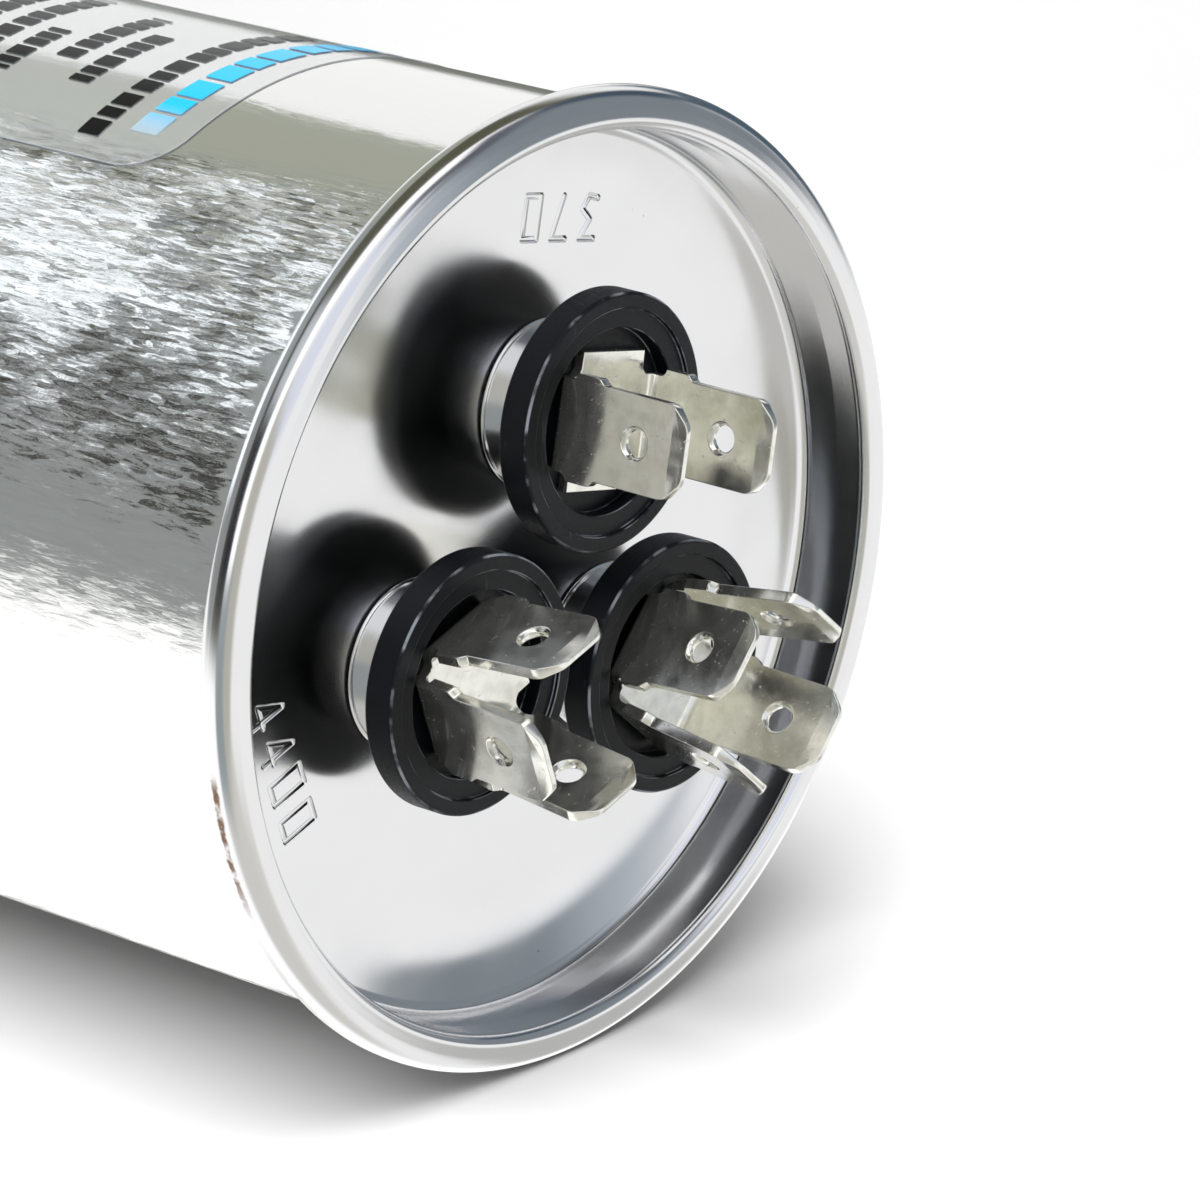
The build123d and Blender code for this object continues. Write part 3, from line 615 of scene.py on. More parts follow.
def turned_tree():
    """Geometry nodes: a section in the XZ plane, swept once round Z and moved to its centre."""
    tree = bpy.data.node_groups.new("turned_shell", "GeometryNodeTree")
    for name, kind in (("Section", "Geometry"), ("Segments", "Int"), ("Centre", "Vector"), ("Finish", "Material")):
        tree.interface.new_socket(name=name, in_out="INPUT", socket_type=f"NodeSocket{kind}")
    tree.interface.new_socket(name="Shell", in_out="OUTPUT", socket_type="NodeSocketGeometry")
    given = add(tree, "NodeGroupInput").outputs
    count = add(tree, "GeometryNodeAttributeDomainSize", given["Section"]).outputs["Point Count"]
    grid = add(tree, "GeometryNodeMeshGrid", {"Size X": 1.0, "Size Y": 1.0, "Vertices Y": count, "Vertices X": add(
        tree, "Math", given["Segments"], 1.0, operation="ADD")})
    # a grid one wide and one high: across it the turn, up it the section's points in order
    place = add(tree, "GeometryNodeInputPosition").outputs[0]
    x, y, _ = add(tree, "SeparateXYZ", place).outputs
    turn = add(tree, "Math", add(tree, "Math", x, 0.5, operation="ADD"), 2 * pi, operation="MULTIPLY")
    share = add(tree, "Math", y, 0.5, operation="ADD")
    share = add(tree, "Math", share, add(tree, "Math", count, 1.0, operation="SUBTRACT"), operation="MULTIPLY")
    index = add(tree, "FunctionNodeFloatToInt", share, rounding_mode="ROUND")
    point = add(tree, "GeometryNodeSampleIndex", {"Geometry": given["Section"], "Value": place, "Index": index},
                data_type="FLOAT_VECTOR", domain="POINT")
    point = add(tree, "VectorRotate", {"Vector": point, "Angle": turn}, rotation_type="Z_AXIS")
    point = add(tree, "VectorMath", point, given["Centre"], operation="ADD")
    shell = add(tree, "GeometryNodeSetPosition", {"Geometry": grid, "Position": point})
    shell = add(tree, "GeometryNodeMergeByDistance", {"Geometry": shell, "Distance": SAME_PLACE})
    shell = add(tree, "GeometryNodeRealizeInstances", shell)
    shell = add(tree, "GeometryNodeSetMaterial", {"Geometry": shell, "Material": given["Finish"]})
    add(tree, "NodeGroupOutput", shell)
    return tree


def set_input(modifier, name, value):
    """Set a modifier's input by its name."""
    for item in modifier.node_group.interface.items_tree:
        if item.item_type == "SOCKET" and item.in_out == "INPUT" and item.name == name:
            modifier[item.identifier] = value


def linked(name, mesh):
    """New object in the scene."""
    piece = bpy.data.objects.new(name, mesh)
    bpy.context.scene.collection.objects.link(piece)
    return piece


def baked(piece):
    """Turn an object's modifiers into its plain mesh."""
    graph = bpy.context.evaluated_depsgraph_get()
    mesh = bpy.data.meshes.new_from_object(piece.evaluated_get(graph))
    piece.modifiers.clear()
    piece.data = mesh
    return piece


def turned(name, outline, material, segments, centre=(0, 0, 0)):
    """Plain mesh of a section swept once round Z."""
    mesh = bpy.data.meshes.new(name)
    mesh.from_pydata([(p.x, 0, p.y) for p in outline], [(i, i + 1) for i in range(len(outline) - 1)], [])
    piece = linked(name, mesh)
    modifier = piece.modifiers.new("turned", "NODES")
    modifier.node_group = bpy.data.node_groups.get("turned_shell") or turned_tree()
    set_input(modifier, "Segments", segments)
    set_input(modifier, "Centre", tuple(float(c) for c in centre))
    set_input(modifier, "Finish", material)
    return single_finish(baked(piece), material)


def single_finish(piece, material):
    """Leave one material slot on a baked mesh."""
    piece.data.materials.clear()
    piece.data.materials.append(material)
    piece.data.polygons.foreach_set("material_index", [0] * len(piece.data.polygons))
    return piece


def merged(name, pieces, material):
    """One mesh object out of several."""
    bm = bmesh.new()
    for piece in pieces:
        bm.from_mesh(piece.data)
        bpy.data.objects.remove(piece)
    mesh = bpy.data.meshes.new(name)
    bm.to_mesh(mesh)
    bm.free()
    return single_finish(linked(name, mesh), material)


def finish_mesh(piece, sharp=32.0):
    """Weld, turn the faces outwards, shade smooth and keep the real edges crisp."""
    bm = bmesh.new()
    bm.from_mesh(piece.data)
    bmesh.ops.remove_doubles(bm, verts=bm.verts, dist=WELD)
    bmesh.ops.dissolve_degenerate(bm, edges=bm.edges, dist=1e-8)
    bmesh.ops.recalc_face_normals(bm, faces=bm.faces)
    if bm.calc_volume(signed=True) < 0:
        bmesh.ops.reverse_faces(bm, faces=bm.faces)
    loose = [e for e in bm.edges if not e.is_manifold]
    if loose:
        raise RuntimeError(f"{piece.name}: {len(loose)} edges are open or shared, first at {loose[0].verts[0].co}")
    for item in bm.faces:
        item.smooth = True
    bm.to_mesh(piece.data)
    bm.free()
    piece.data.set_sharp_from_angle(angle=radians(sharp))
    return piece


def hand_over(piece, slot, *nodes):
    """Give a finished piece to the frame, in place of the nodes that it stands for."""
    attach(piece, BODY)
    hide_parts(*nodes)


# ------------------------------------------------------------------ can and lid
def can_outline(sheets):
    """Base, wall, flange and body hook, as one drawn sheet, from the axis out and back to it."""
    wall = sheets.can_wall
    middle = sheets.can_radius - wall / 2
    hook = sheets.can_radius + 2 * sheets.seam_film + sheets.lid_sheet + wall / 2
    flange = CASE_HEIGHT - sheets.lid_sheet - sheets.seam_film - wall / 2
    fold = (hook - middle) / 2
    cover_fold = (SEAM_RADIUS - sheets.can_radius - sheets.seam_film - 2 * sheets.lid_sheet) / 2
    end = CASE_HEIGHT - sheets.seam_height + sheets.lid_sheet + cover_fold
    inner, outer = middle - wall - sheets.seam_film, SEAM_RADIUS - sheets.lid_sheet / 2
    fall = sheets.seam_slope / (outer - inner)
    points = [(0, wall / 2), (middle, wall / 2), (middle, flange - fall * (middle - inner)),
              (hook, flange - fall * (hook - inner)), (hook - GAP, end)]
    right, left = sheet_faces(points, [sheets.can_corner - wall / 2, fold, fold], wall, steps=10)
    return right + left[::-1]


def lid_rim_outline(sheets):
    """From the flat panel out: countersink wall, over the seam and up inside it, and back."""
    sheet, film, wall = sheets.lid_sheet, sheets.seam_film, sheets.can_wall
    half = sheet / 2
    panel = CASE_HEIGHT - sheets.lid_depth - half
    chuck = sheets.can_radius - wall - film - half
    outer = SEAM_RADIUS - half
    hook = sheets.can_radius + film + half
    crown = CASE_HEIGHT - half
    bottom = CASE_HEIGHT - sheets.seam_height
    fold = (outer - hook) * 0.49
    hook_top = CASE_HEIGHT - sheet - film - wall - film - half - sheets.seam_pocket
    points = [(sheets.panel_rim, panel), (chuck - sheets.lid_wall_inset, panel), (chuck, bottom), (chuck, crown),
              (outer, crown - sheets.seam_slope), (outer, bottom + half), (hook, bottom + half), (hook, hook_top)]
    corner = sheets.lid_corner_radius
    bends = [corner, corner, sheets.seam_inner_radius, sheets.seam_outer_radius, fold, fold]
    right, left = sheet_faces(points, bends, sheet, steps=12)
    return right + left[::-1]


def boss_outline(sheets, insulator):
    """From the flat panel in and up to the stud's hole, and back under the sheet."""
    half = sheets.lid_sheet / 2
    top = INSULATOR_LOW.z + insulator.neck_length - half
    panel = CASE_HEIGHT - sheets.lid_depth - half
    upper = sheets.boss_radius - half
    lower = upper + sheets.boss_flare
    points = [(insulator.neck_radius + GAP, top), (upper, top), (lower, panel),
              (lower + sheets.boss_land, panel)]
    under, over = sheet_faces(points, [sheets.boss_top_radius, sheets.boss_foot_radius], sheets.lid_sheet, steps=12)
    return over[::-1] + under


def ring_points(radius, count, centre, height):
    """Points of a level circle."""
    return [Vector((centre[0] + radius * cos(2 * pi * i / count), centre[1] + radius * sin(2 * pi * i / count),
                    height)) for i in range(count)]


def panel_block(sheets, stamps, material):
    """Flat panel between the rim and the bosses, with its figures stamped in and its cut edges left open."""
    top = CASE_HEIGHT - sheets.lid_depth
    land = sheets.boss_radius - sheets.lid_sheet / 2 + sheets.boss_flare + sheets.boss_land
    rings = [(sheets.panel_rim, sheets.segments, (0, 0))]
    rings += [(land, sheets.segments // 2, BOSS_HEADS[name]) for name in TERMINALS]
    # the cut edges are there only while the figures are stamped, and are marked by a slot of their own
    cut_edge = 1
    bm = bmesh.new()
    for height in (top, top - sheets.lid_sheet):
        loops = [ring_points(radius, count, centre, height) for radius, count, centre in rings]
        verts = [bm.verts.new(p) for loop in loops for p in loop]
        for triangle in tessellate_polygon(loops):
            bm.faces.new([verts[i] for i in triangle])
    verts, total = list(bm.verts), len(bm.verts) // 2
    first = 0
    for _, count, _ in rings:
        for i in range(count):
            a, b = first + i, first + (i + 1) % count
            bm.faces.new([verts[a], verts[b], verts[b + total], verts[a + total]]).material_index = cut_edge
        first += count
    bmesh.ops.recalc_face_normals(bm, faces=bm.faces)
    mesh = bpy.data.meshes.new("lid_panel")
    bm.to_mesh(mesh)
    bm.free()
    mesh.materials.append(material)
    mesh.materials.append(material)
    panel = linked("lid_panel", mesh)
    punches = linked("punches", bpy.data.meshes.new("punches"))
    punches.data.materials.append(material)
    cutter = stamp_punches(stamps, top)
    cutter.to_mesh(punches.data)
    cutter.free()
    cut = panel.modifiers.new("stamped", "BOOLEAN")
    cut.operation, cut.solver, cut.use_self, cut.object = "DIFFERENCE", "EXACT", True, punches
    baked(panel)
    bpy.data.objects.remove(punches)
    bm = bmesh.new()
    bm.from_mesh(panel.data)
    bmesh.ops.delete(bm, geom=[f for f in bm.faces if f.material_index == cut_edge], context="FACES")
    bm.to_mesh(panel.data)
    bm.free()
    return panel


# Strokes of the figures on a grid one wide and two high
GLYPHS = {
    "0": [(0, 0), (1, 0), (1, 2), (0, 2), (0, 0)],
    "3": [(0, 2), (1, 2), (0.4, 1.1), (1, 0.6), (0.6, 0), (0, 0.1)],
    "4": [(0.8, 0), (0.8, 2), (0, 0.6), (1.1, 0.6)],
    "7": [(0, 2), (1, 2), (0.4, 0)],
}


def stamp_punches(stamps, surface):
    """Round-nosed rods along the strokes of the figures, sunk into the lid by the depth of the stamp."""
    bm = bmesh.new()
    scale = stamps.height / 2
    for name, figures in (("fan", stamps.fan), ("compressor", stamps.compressor)):
        outwards = BOSS_HEADS[name].normalized()
        across = Vector((-outwards.y, outwards.x, 0))
        middle = outwards * stamps.radius + Vector((0, 0, surface + stamps.groove - stamps.depth))
        for index, figure in enumerate(figures):
            shift = (index - (len(figures) - 1) / 2) * stamps.pitch - scale / 2
            spots = [middle + across * (shift + x * scale) - outwards * (y * scale - stamps.height / 2)
                     for x, y in GLYPHS[figure]]
            for start, end in zip(spots, spots[1:]):
                turn = Vector((0, 0, 1)).rotation_difference(end - start).to_matrix().to_4x4()
                place = Matrix.Translation((start + end) / 2) @ turn
                bmesh.ops.create_cone(bm, cap_ends=True, segments=20, radius1=stamps.groove,
                                      radius2=stamps.groove, depth=(end - start).length, matrix=place)
            for spot in spots:
                bmesh.ops.create_uvsphere(bm, u_segments=20, v_segments=10, radius=stamps.groove * 0.999,
                                          matrix=Matrix.Translation(spot))
    return bm


class CAPACITOR_OT_can(bpy.types.Operator):
    """Turn the drawn can with its folded flange"""
    bl_idname = "capacitor.can"
    bl_label = "Make can"

    def execute(self, context):
        given = context.scene.capacitor
        piece = turned("can_shell", can_outline(given.sheets), drawn_aluminium(given), given.sheets.segments)
        hand_over(finish_mesh(piece), "can_aluminium", "can")
        return {"FINISHED"}


class CAPACITOR_OT_lid(bpy.types.Operator):
    """Make the lid: turned seam and countersink, stamped panel and three bosses"""
    bl_idname = "capacitor.lid"
    bl_label = "Make lid"

    def execute(self, context):
        given = context.scene.capacitor
        material = bright_aluminium(given)
        sheets = given.sheets
        parts = [turned("lid_rim", lid_rim_outline(sheets), material, sheets.segments)]
        parts.append(panel_block(sheets, given.stamps, material))
        for name in TERMINALS:
            parts.append(turned(f"{name}_boss", boss_outline(sheets, given.insulator), material,
                                sheets.segments // 2, BOSS_HEADS[name]))
        hand_over(finish_mesh(merged("lid_shell", parts, material)), "lid_aluminium", "lid")
        return {"FINISHED"}


# ------------------------------------------------------------------ insulators
def insulator_outline(insulator):
    """Closed section of an insulator about the stud's axis."""
    low, high, outer = INSULATOR_LOW.z, INSULATOR_HIGH.z, (INSULATOR_HIGH.x - INSULATOR_LOW.x) / 2
    ring, seat = high - insulator.ring_recess, high - insulator.well_depth
    head, foot = seat - insulator.head_depth, low + insulator.neck_length
    lip, edge, step = outer - insulator.lip_width, insulator.edge, insulator.step_edge
    points = [(insulator.bore, low), (insulator.neck_radius, low), (insulator.neck_radius, foot), (outer, foot),
              (outer, high), (lip, high), (lip, ring), (insulator.well_radius, ring),
              (insulator.well_radius, seat), (insulator.head_radius, seat), (insulator.head_radius, head),
              (insulator.bore, head)]
    return rounded_ring(points, [0, 0, edge, edge, step, step, step, step, 0, 0, 0])


class CAPACITOR_OT_insulators(bpy.types.Operator):
    """Turn the three black insulators"""
    bl_idname = "capacitor.insulators"
    bl_label = "Make insulators"

    def execute(self, context):
        given = context.scene.capacitor
        material = black_phenolic(given)
        for name in TERMINALS:
            piece = turned(f"{name}_insulator_shell", insulator_outline(given.insulator), material,
                           given.insulator.segments, BOSS_HEADS[name])
            hand_over(finish_mesh(piece), "black_phenolic", f"{name}_insulator")
        return {"FINISHED"}


# ------------------------------------------------------------------ terminals
# Side of the plate in degrees from the outward direction, and how far its tab leans out in degrees;
# a side that isn't named ends in a stub
TAB_LEANS = {
    "fan": {90: 1.0, -90: -1.9},
    "compressor": {-90: 4.6, 0: 3.2, 90: 8.3},
    "common": {180: 7.7, -90: 6.6, 0: 6.0, 90: 7.9},
}


# A point of a tab's outline gives way to the line of the bevel when it is this close to it
TOO_CLOSE = 0.05 * MM


def inner_end(tabs):
    """Where a side leaves the plate, just inside the start of its bend."""
    return tabs.gauge / 2 - 1.06 * tabs.bend


class TabSheet:
    """One folded tab or stub, drawn flat along its middle line and then bent up."""

    def __init__(self, tabs, lean):
        self.tabs = tabs
        self.turn = radians(90 - lean) if lean is not None else 0.0
        self.tangent = tabs.bend * tan(self.turn / 2)
        self.bend_start = tabs.gauge / 2 - self.tangent
        self.bend_end = self.bend_start + tabs.bend * self.turn
        self.inner = inner_end(tabs)

    def place(self, along, across, lift):
        """Point at a distance along the developed sheet, across it, and lifted off its middle."""
        if along <= self.bend_start or not self.turn:
            return Vector((along, across, lift))
        turn = min((along - self.bend_start) / self.tabs.bend, self.turn)
        x = self.bend_start + (self.tabs.bend - lift) * sin(turn)
        z = self.tabs.bend - (self.tabs.bend - lift) * cos(turn)
        rest = max(0.0, along - self.bend_end)
        return Vector((x + rest * cos(self.turn), across, z + rest * sin(self.turn)))

    def at(self, height):
        """Developed distance of a height measured from the corner of the bend."""
        return self.bend_end + height - self.tangent


def tab_half_outline(tabs):
    """Right-hand edge of a tab above its bend, as (height, half width), up to the middle of the tip."""
    root, half, slope = tabs.root_width / 2, tabs.width / 2, tabs.shoulder + tabs.shoulder_height
    notch = [(tabs.notch_height + tabs.notch * sin(a), root - tabs.notch * cos(a))
             for a in [i * pi / 16 for i in range(9)]]
    corners = [(tabs.notch_height + tabs.notch, root), (tabs.shoulder, root), (slope, half),
               (tabs.height - tabs.chamfer, half), (tabs.height, half - tabs.chamfer), (tabs.height, 0)]
    shoulder, tip = tabs.shoulder_rounding, tabs.corner_rounding
    line = rounded(corners, [shoulder, shoulder, tip, tip], steps=14)
    return notch + [(p.x, p.y) for p, _ in line][1:]


def split_at(outline, height):
    """Cut an outline of (height, half width) at a height, giving the part below and the part above."""
    for index, (a, b) in enumerate(zip(outline, outline[1:])):
        if a[0] < height <= b[0]:
            share = (height - a[0]) / (b[0] - a[0])
            cut = (height, a[1] + (b[1] - a[1]) * share)
            below, above = outline[:index + 1], outline[index + 1:]
            if hypot(cut[0] - below[-1][0], cut[1] - below[-1][1]) < TOO_CLOSE:
                below = below[:-1]
            if hypot(cut[0] - above[0][0], cut[1] - above[0][1]) < TOO_CLOSE:
                above = above[1:]
            return below + [cut], [cut] + above
    raise RuntimeError("the tip's bevel lies outside the tab")


class SheetBuilder:
    """Collects the two faces and the edges of a flat pattern, bent into place."""

    def __init__(self, bm, sheet, turn, height):
        self.bm, self.sheet = bm, sheet
        self.frame = Matrix.Translation((0, 0, height)) @ Matrix.Rotation(turn, 4, "Z")
        self.half = sheet.tabs.sheet / 2

    def lift(self, along):
        """Half thickness there: the tip is ground thinner."""
        tabs = self.sheet.tabs
        if not self.sheet.turn:
            return self.half
        over = along - self.sheet.at(tabs.height - tabs.bevel)
        return self.half - max(0.0, over) / tabs.bevel * (self.half - tabs.tip_edge / 2)

    def vert(self, along, across, side, inset=0.0):
        place = self.sheet.place(along, across, side * (self.lift(along) - inset))
        return self.bm.verts.new(self.frame @ place)

    def both(self, outline, inset=0.0):
        """The same face on the front and on the back."""
        for side in (1, -1):
            self.bm.faces.new([self.vert(a, w, side, inset) for a, w in outline])

    def wall(self, outline, front=0.0):
        """Sheared edge along a line."""
        for (a, w), (b, v) in zip(outline, outline[1:]):
            self.bm.faces.new([self.vert(a, w, 1, front), self.vert(b, v, 1, front),
                               self.vert(b, v, -1, front), self.vert(a, w, -1, front)])

    def chamfer(self, outer, inner, depth):
        """Ring between a wide loop on the face and a narrow loop below it, on both sides."""
        for side in (1, -1):
            for (a, w), (b, v), (c, u), (d, t) in zip(outer, outer[1:], inner[1:], inner):
                self.bm.faces.new([self.vert(a, w, side), self.vert(b, v, side), self.vert(c, u, side, depth),
                                   self.vert(d, t, side, depth)])


def build_tab(bm, tabs, lean, turn, height):
    """One tab with its bend, hole, shoulders and ground tip."""
    sheet = TabSheet(tabs, lean)
    builder = SheetBuilder(bm, sheet, turn, height)
    root = tabs.root_width / 2 - tabs.notch
    steps = [sheet.inner] + [sheet.bend_start + (sheet.bend_end - sheet.bend_start) * i / 14 for i in range(15)]
    widths = [root + tabs.flare] + [root] * 15
    for (a, w), (b, v) in zip(zip(steps, widths), zip(steps[1:], widths[1:])):
        middle = [(b, 0.0)] if b == steps[-1] else []
        builder.both([(a, -w), (b, -v)] + middle + [(b, v), (a, w)])
        for side in (1, -1):
            builder.wall([(a, side * w), (b, side * v)])
    below, above = split_at(tab_half_outline(tabs), tabs.height - tabs.bevel)
    below = [(sheet.bend_end, root)] + [(sheet.at(h), w) for h, w in below]
    above = [(sheet.at(h), w) for h, w in above]
    centre, radius = sheet.at(tabs.height - tabs.hole_to_tip), tabs.hole / 2
    angles = [pi * i / 20 for i in range(21)]
    for side in (1, -1):
        mouth, bore = ([(centre + r * cos(a), side * r * sin(a)) for a in angles]
                       for r in (radius + tabs.hole_chamfer, radius))
        edge = [(a, side * w) for a, w in below]
        builder.both([(edge[0][0], 0.0)] + edge + [(edge[-1][0], 0.0)] + mouth)
        builder.wall(edge)
        builder.chamfer(mouth, bore, tabs.hole_chamfer)
        builder.wall(bore, tabs.hole_chamfer)
        tip = [(a, side * w) for a, w in above]
        builder.both([(tip[0][0], 0.0)] + tip)
        builder.wall(tip)


def build_stub(bm, tabs, turn, height):
    """Short flat end of the plate on a side without a tab."""
    builder = SheetBuilder(bm, TabSheet(tabs, None), turn, height)
    near, far, half = inner_end(tabs), tabs.stub_reach, tabs.stub_half_width
    outline = [(near, half + tabs.flare), (far, half), (far, -half), (near, -half - tabs.flare)]
    builder.both(outline)
    builder.wall(outline)


def build_plate(bm, tabs, height):
    """Square plate with a round relief at each corner."""
    builder = SheetBuilder(bm, TabSheet(tabs, None), 0.0, height)
    middle = (tabs.gauge - tabs.relief) / 2
    start = acos((middle - inner_end(tabs)) / tabs.relief)
    arc = [(middle - tabs.relief * cos(a), middle - tabs.relief * sin(a))
           for a in [start + (pi / 2 - 2 * start) * i / 8 for i in range(9)]]
    outline = []
    for turn in range(4):
        corner = [tuple(Matrix.Rotation(turn * pi / 2, 2) @ Vector(p)) for p in arc]
        outline += corner
        builder.wall(corner)
    builder.both(outline)


def soften(piece, width, crease):
    """Round the sheared edges and keep broad faces flat in the shading; ground lines stay crisp."""
    mesh = piece.data
    bm = bmesh.new()
    bm.from_mesh(mesh)
    for item in bm.edges:
        item.smooth = not (len(item.link_faces) == 2 and radians(8) < item.calc_face_angle(0) < radians(crease))
    bm.to_mesh(mesh)
    bm.free()
    bevel = piece.modifiers.new("edges", "BEVEL")
    bevel.width, bevel.segments, bevel.limit_method, bevel.angle_limit = width, 3, "ANGLE", radians(crease)
    bevel.use_clamp_overlap = False
    weighted = piece.modifiers.new("flats", "WEIGHTED_NORMAL")
    weighted.keep_sharp, weighted.weight = True, 100
    return baked(piece)


class CAPACITOR_OT_terminals(bpy.types.Operator):
    """Fold the three plates of quick-connect tabs"""
    bl_idname = "capacitor.terminals"
    bl_label = "Make terminals"

    def execute(self, context):
        given = context.scene.capacitor
        tabs = given.tabs
        material = tinned_brass(given)
        for name in TERMINALS:
            bm = bmesh.new()
            build_plate(bm, tabs, tabs.seat)
            for side in (0, 90, 180, -90):
                if side in TAB_LEANS[name]:
                    build_tab(bm, tabs, TAB_LEANS[name][side], radians(side), tabs.seat)
                else:
                    build_stub(bm, tabs, radians(side), tabs.seat)
            heading = atan2(BOSS_HEADS[name].y, BOSS_HEADS[name].x)
            bmesh.ops.transform(bm, matrix=Matrix.Translation(BOSS_HEADS[name]) @ Matrix.Rotation(heading, 4, "Z"),
                                verts=bm.verts)
            mesh = bpy.data.meshes.new(f"{name}_tabs")
            bm.to_mesh(mesh)
            bm.free()
            mesh.materials.append(material)
            piece = finish_mesh(linked(f"{name}_tabs", mesh), 180)
            hand_over(soften(piece, tabs.edge, 30), "tinned_brass", f"{name}_terminal")
        return {"FINISHED"}


# ------------------------------------------------------------------ label
class CAPACITOR_OT_label(bpy.types.Operator):
    """Wrap the printed film round part of the wall"""
    bl_idname = "capacitor.label"
    bl_label = "Make label"

    def execute(self, context):
        given = context.scene.capacitor
        film = given.label
        wall = given.sheets.can_radius
        top, arc = CASE_HEIGHT - film.top_gap, (film.end - film.start) * wall
        corner_steps, arc_steps, rows = 12, 150, 6
        near = [film.corner * (1 - cos(i * pi / (2 * corner_steps))) for i in range(corner_steps)]
        stops = near + [film.corner + (arc - 2 * film.corner) * i / arc_steps for i in range(arc_steps + 1)]
        stops += [arc - n for n in near[::-1]]
        bm = bmesh.new()
        layer = bm.loops.layers.uv.new("print")
        flat, grids = {}, []
        for radius in (wall + film.sheet, wall + film.lift):
            grid = []
            for stop in stops:
                from_end = min(stop, arc - stop, film.corner)
                cut = film.corner - sqrt(max(0.0, film.corner ** 2 - (film.corner - from_end) ** 2))
                angle = film.end - stop / wall
                column = []
                for row in range(rows + 1):
                    z = film.bottom + cut + (top - film.bottom - 2 * cut) * row / rows
                    vert = bm.verts.new((radius * cos(angle), radius * sin(angle), z))
                    flat[vert] = (stop, top - z)
                    column.append(vert)
                grid.append(column)
            grids.append(grid)
        outer, inner = grids
        faces = []
        for grid in grids:
            for a, b in zip(grid, grid[1:]):
                faces += [bm.faces.new([a[i], b[i], b[i + 1], a[i + 1]]) for i in range(rows)]
        for i in range(len(stops) - 1):
            for row in (0, rows):
                faces.append(bm.faces.new([outer[i][row], outer[i + 1][row], inner[i + 1][row], inner[i][row]]))
        for i in (0, len(stops) - 1):
            for row in range(rows):
                faces.append(bm.faces.new([outer[i][row], outer[i][row + 1], inner[i][row + 1], inner[i][row]]))
        for item in faces:
            for corner in item.loops:
                corner[layer].uv = flat[corner.vert]
        mesh = bpy.data.meshes.new("label")
        bm.to_mesh(mesh)
        bm.free()
        mesh.materials.append(printed_film(film))
        hand_over(finish_mesh(linked("label", mesh)), "label_film", "label_film")
        return {"FINISHED"}


# ------------------------------------------------------------------ pieces inside
class CAPACITOR_OT_inside(bpy.types.Operator):
    """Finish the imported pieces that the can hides"""
    bl_idname = "capacitor.inside"
    bl_label = "Finish inside"

    def execute(self, context):
        finishes = {name: plain_finish(name, *values) for name, values in HIDDEN_FINISHES.items()}
        slots = {row["node"]: row["material_slot"] for row in frame["record"]["subparts"]}
        for node, piece in frame["nodes"].items():
            shown = {"can_aluminium": "can_shell", "lid_aluminium": "lid_shell", "label_film": "label",
                     "black_phenolic": "fan_insulator_shell", "tinned_brass": "fan_tabs"}.get(slots[node])
            material = bpy.data.objects[shown].data.materials[0] if shown else finishes[slots[node]]
            piece.data.materials.clear()
            piece.data.materials.append(material)
        return {"FINISHED"}


# ------------------------------------------------------------------ stage
def plane(name, corners, material):
    """Flat piece of the stage."""
    mesh = bpy.data.meshes.new(name)
    mesh.from_pydata(corners, [], [range(4)])
    mesh.materials.append(material)
    piece = linked(name, mesh)
    return piece


def paper(name, stage, lift):
    """White paper that partly glows and keeps shadows. It shows from its front only, and mirrors look through it
    at the room."""
    material, tree = new_material(name)
    white = hex_colour(stage.surround)
    clear = add(tree, "BsdfTransparent")
    lit = add(tree, "MixShader", lift, add(tree, "BsdfDiffuse", white), add(tree, "Emission", white, 1.0))
    path = add(tree, "LightPath").outputs
    mirror = add(tree, "Math", path["Is Glossy Ray"], path["Is Transmission Ray"], operation="MAXIMUM")
    front = add(tree, "MixShader", mirror, lit, clear)
    back = add(tree, "NewGeometry").outputs["Backfacing"]
    add(tree, "OutputMaterial", add(tree, "MixShader", back, front, clear))
    return material


# Areas of the room that aren't white, as mirrors on the object see them: azimuths and elevations in degrees,
# how soft the edges are, the colour and its brightness. Later ones cover earlier ones.
ROOM_AREAS = [
    ((38, 108), (4, 62), (14, 14), "#DBDAD5", 1.0),
    ((126, 147), (-24, 40), (7, 12), "#C1C1BE", 1.0),
    ((-52, 46), (18, 68), (16, 16), "#BFBEB4", 1.0),
    ((-10, 40), (-2, 34), (14, 12), "#9CA4A7", 1.0),
    ((-112, -45), (34, 80), (14, 12), "#E9EDFA", 1.0),
    ((170, 228), (44, 66), (18, 12), "#B9C0C8", 1.0),
    ((175, 246), (8, 54), (6, 12), "#828A90", 1.0),
    ((173, 200), (-34, 6), (6, 9), "#51626F", 1.0),
    ((198, 234), (-8, 14), (10, 10), "#465564", 1.0),
    ((-130, -96), (12, 42), (14, 12), "#63666E", 1.0),
    ((12, 151), (-75, -2), (8, 12), "#FFFFFF", 1.25),
    ((142, 180), (-62, -30), (8, 8), "#7A7C76", 1.0),
    ((-132.5, 8), (-82, -6), (1.5, 8), "#A9ACA0", 1.0),
    ((-98, 8), (-82, -34), (20, 8), "#A2A7A9", 1.0),
    ((-50, 8), (-82, -34), (18, 8), "#969A9A", 1.0),
    ((-120, -24), (-90, -54), (14, 8), "#EEF4FA", 1.5),
    ((-140, 5), (-37, 2), (20, 4), "#5C5C4D", 1.0),
    ((-70, 5), (-37, 2), (24, 4), "#45433F", 1.0),
    ((-42, -4), (-24, 0), (12, 8), "#30343A", 1.0),
    ((-67, -42), (-27, 4), (12, 12), "#CDD2D6", 1.0),
    ((-112, -8), (4, 24), (10, 5), "#FFFFFF", 1.4),
]


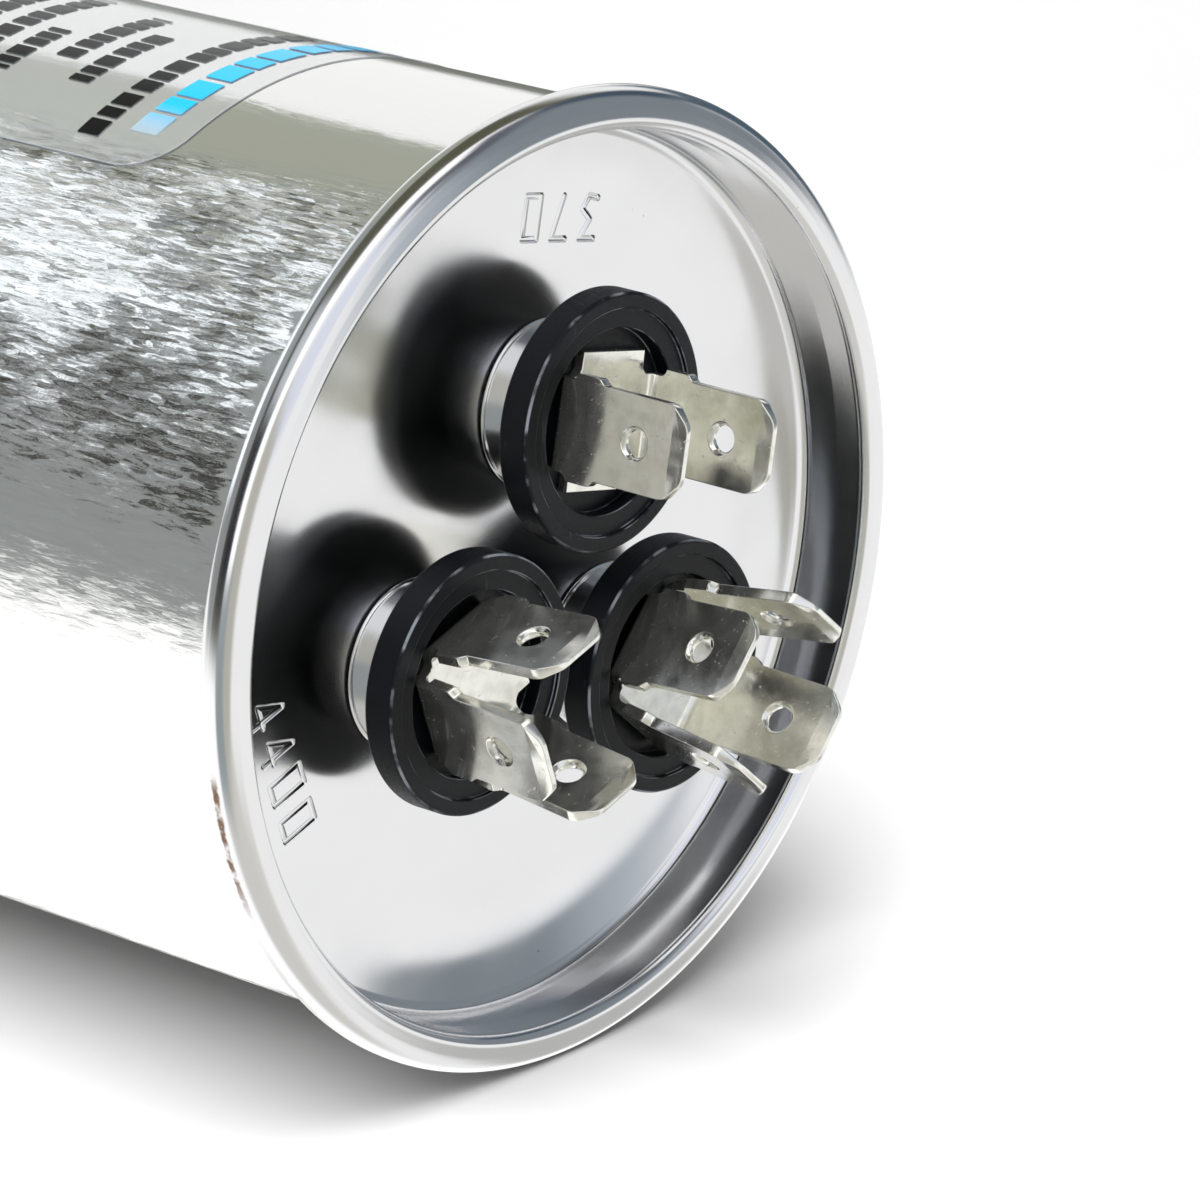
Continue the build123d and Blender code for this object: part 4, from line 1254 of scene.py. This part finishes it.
def room_light(stage):
    """White room with grey and dark areas for mirrors, an even one for matt surfaces, and plain white
    where the camera looks past the object."""
    world = bpy.data.worlds.new("room")
    bpy.context.scene.world = world
    world.use_nodes = True
    tree = world.node_tree
    tree.nodes.clear()
    x, y, z = add(tree, "SeparateXYZ", add(tree, "TexCoord").outputs["Generated"]).outputs
    azimuth, elevation = add(tree, "Math", y, x, operation="ARCTAN2"), add(tree, "Math", z, operation="ARCSINE")
    white = hex_colour("#FFFFFF")
    shade = white
    for azimuths, elevations, softness, paint, gain in ROOM_AREAS:
        inside = 1.0
        for value, ends, soft in ((azimuth, azimuths, softness[0]), (elevation, elevations, softness[1])):
            middle, reach, half = radians(sum(ends) / 2), radians(ends[1] - ends[0]) / 2, radians(soft) / 2
            away = add(tree, "Math", value, middle, operation="SUBTRACT")
            away = add(tree, "Math", add(tree, "Math", away, pi, -pi, operation="WRAP"), operation="ABSOLUTE")
            within = add(tree, "MapRange", away, reach - half, reach + half, 1.0, 0.0, **SMOOTH)
            inside = overlap(tree, within, inside)
        shade = add(tree, "Mix", {0: inside, 6: shade, 7: hex_colour(paint, gain)}, data_type="RGBA")
    mirrored = add(tree, "Background", shade, stage.level)
    fill = add(tree, "Background", white, stage.fill)
    clean = add(tree, "Background", white, 1.0)
    path = add(tree, "LightPath").outputs
    # light that reaches matt surfaces by way of the metal counts as fill, so the shadows stay deep
    direct = add(tree, "Math", path["Diffuse Depth"], 0.5, operation="LESS_THAN")
    room = add(tree, "MixShader", overlap(tree, path["Is Glossy Ray"], direct), fill, mirrored)
    straight = add(tree, "Math", path["Is Camera Ray"], path["Is Transmission Ray"], operation="MAXIMUM")
    add(tree, "OutputWorld", add(tree, "MixShader", straight, room, clean))


def softbox(name, place, target, size, power):
    """Rectangular area light aimed at a point."""
    data = bpy.data.lights.new(name, "AREA")
    data.shape, data.size, data.size_y, data.energy = "RECTANGLE", size[0], size[1], power
    lamp = linked(name, data)
    lamp.visible_glossy = False
    lamp.location = place
    lamp.rotation_mode = "QUATERNION"
    lamp.rotation_quaternion = (Vector(target) - Vector(place)).to_track_quat("-Z", "Y")


class CAPACITOR_OT_stage(bpy.types.Operator):
    """Set up the floor, backdrop, lights and camera"""
    bl_idname = "capacitor.stage"
    bl_label = "Set stage"

    def execute(self, context):
        stage = context.scene.capacitor.stage
        reach = stage.reach
        corners = [(-reach, -reach), (reach, -reach), (reach, reach), (-reach, reach)]
        plane("floor", [(x, y, 0) for x, y in corners], paper("paper_floor", stage, stage.floor_lift))
        # the can lies against the backdrop, so that its shadow falls there
        plane("backdrop", [(x, SEAM_RADIUS, z) for x, z in corners], paper("paper_backdrop", stage, stage.sweep_lift))
        room_light(stage)
        middle = Vector((0, 0, CASE_HEIGHT))
        softbox("overhead", middle + Vector(stage.lamp), middle, stage.lamp_size, stage.key)
        data = bpy.data.cameras.new("camera")
        data.lens, data.sensor_width, data.clip_start, data.clip_end = stage.lens, 36.0, 10 * MM, 20.0
        camera = linked("camera", data)
        eye = Vector(stage.eye)
        look = (Vector(stage.aim) - eye).normalized()
        right = look.cross(Vector(stage.up)).normalized()
        camera.matrix_world = Matrix.Translation(eye) @ Matrix((right, right.cross(look), -look)).transposed().to_4x4()
        context.scene.camera = camera
        context.scene.view_settings.view_transform = "Standard"
        return {"FINISHED"}


# ------------------------------------------------------------------ panel and registration
STEPS = (CAPACITOR_OT_can, CAPACITOR_OT_lid, CAPACITOR_OT_insulators, CAPACITOR_OT_terminals, CAPACITOR_OT_label,
         CAPACITOR_OT_inside, CAPACITOR_OT_stage)


class VIEW3D_PT_capacitor(bpy.types.Panel):
    """Steps of the capacitor, in order"""
    bl_label = "Run capacitor"
    bl_space_type = "VIEW_3D"
    bl_region_type = "UI"
    bl_category = "Capacitor"

    def draw(self, context):
        for step in STEPS:
            self.layout.operator(step.bl_idname)


CLASSES = (*GROUPS, CapacitorSettings, *STEPS, VIEW3D_PT_capacitor)


def register():
    for item in CLASSES:
        bpy.utils.register_class(item)
    bpy.types.Scene.capacitor = PointerProperty(type=CapacitorSettings)


def unregister():
    del bpy.types.Scene.capacitor
    for item in reversed(CLASSES):
        bpy.utils.unregister_class(item)


def main():
    register()
    for step in STEPS:
        group, name = step.bl_idname.split(".")
        getattr(getattr(bpy.ops, group), name)()


if __name__ == "__main__":
    main()
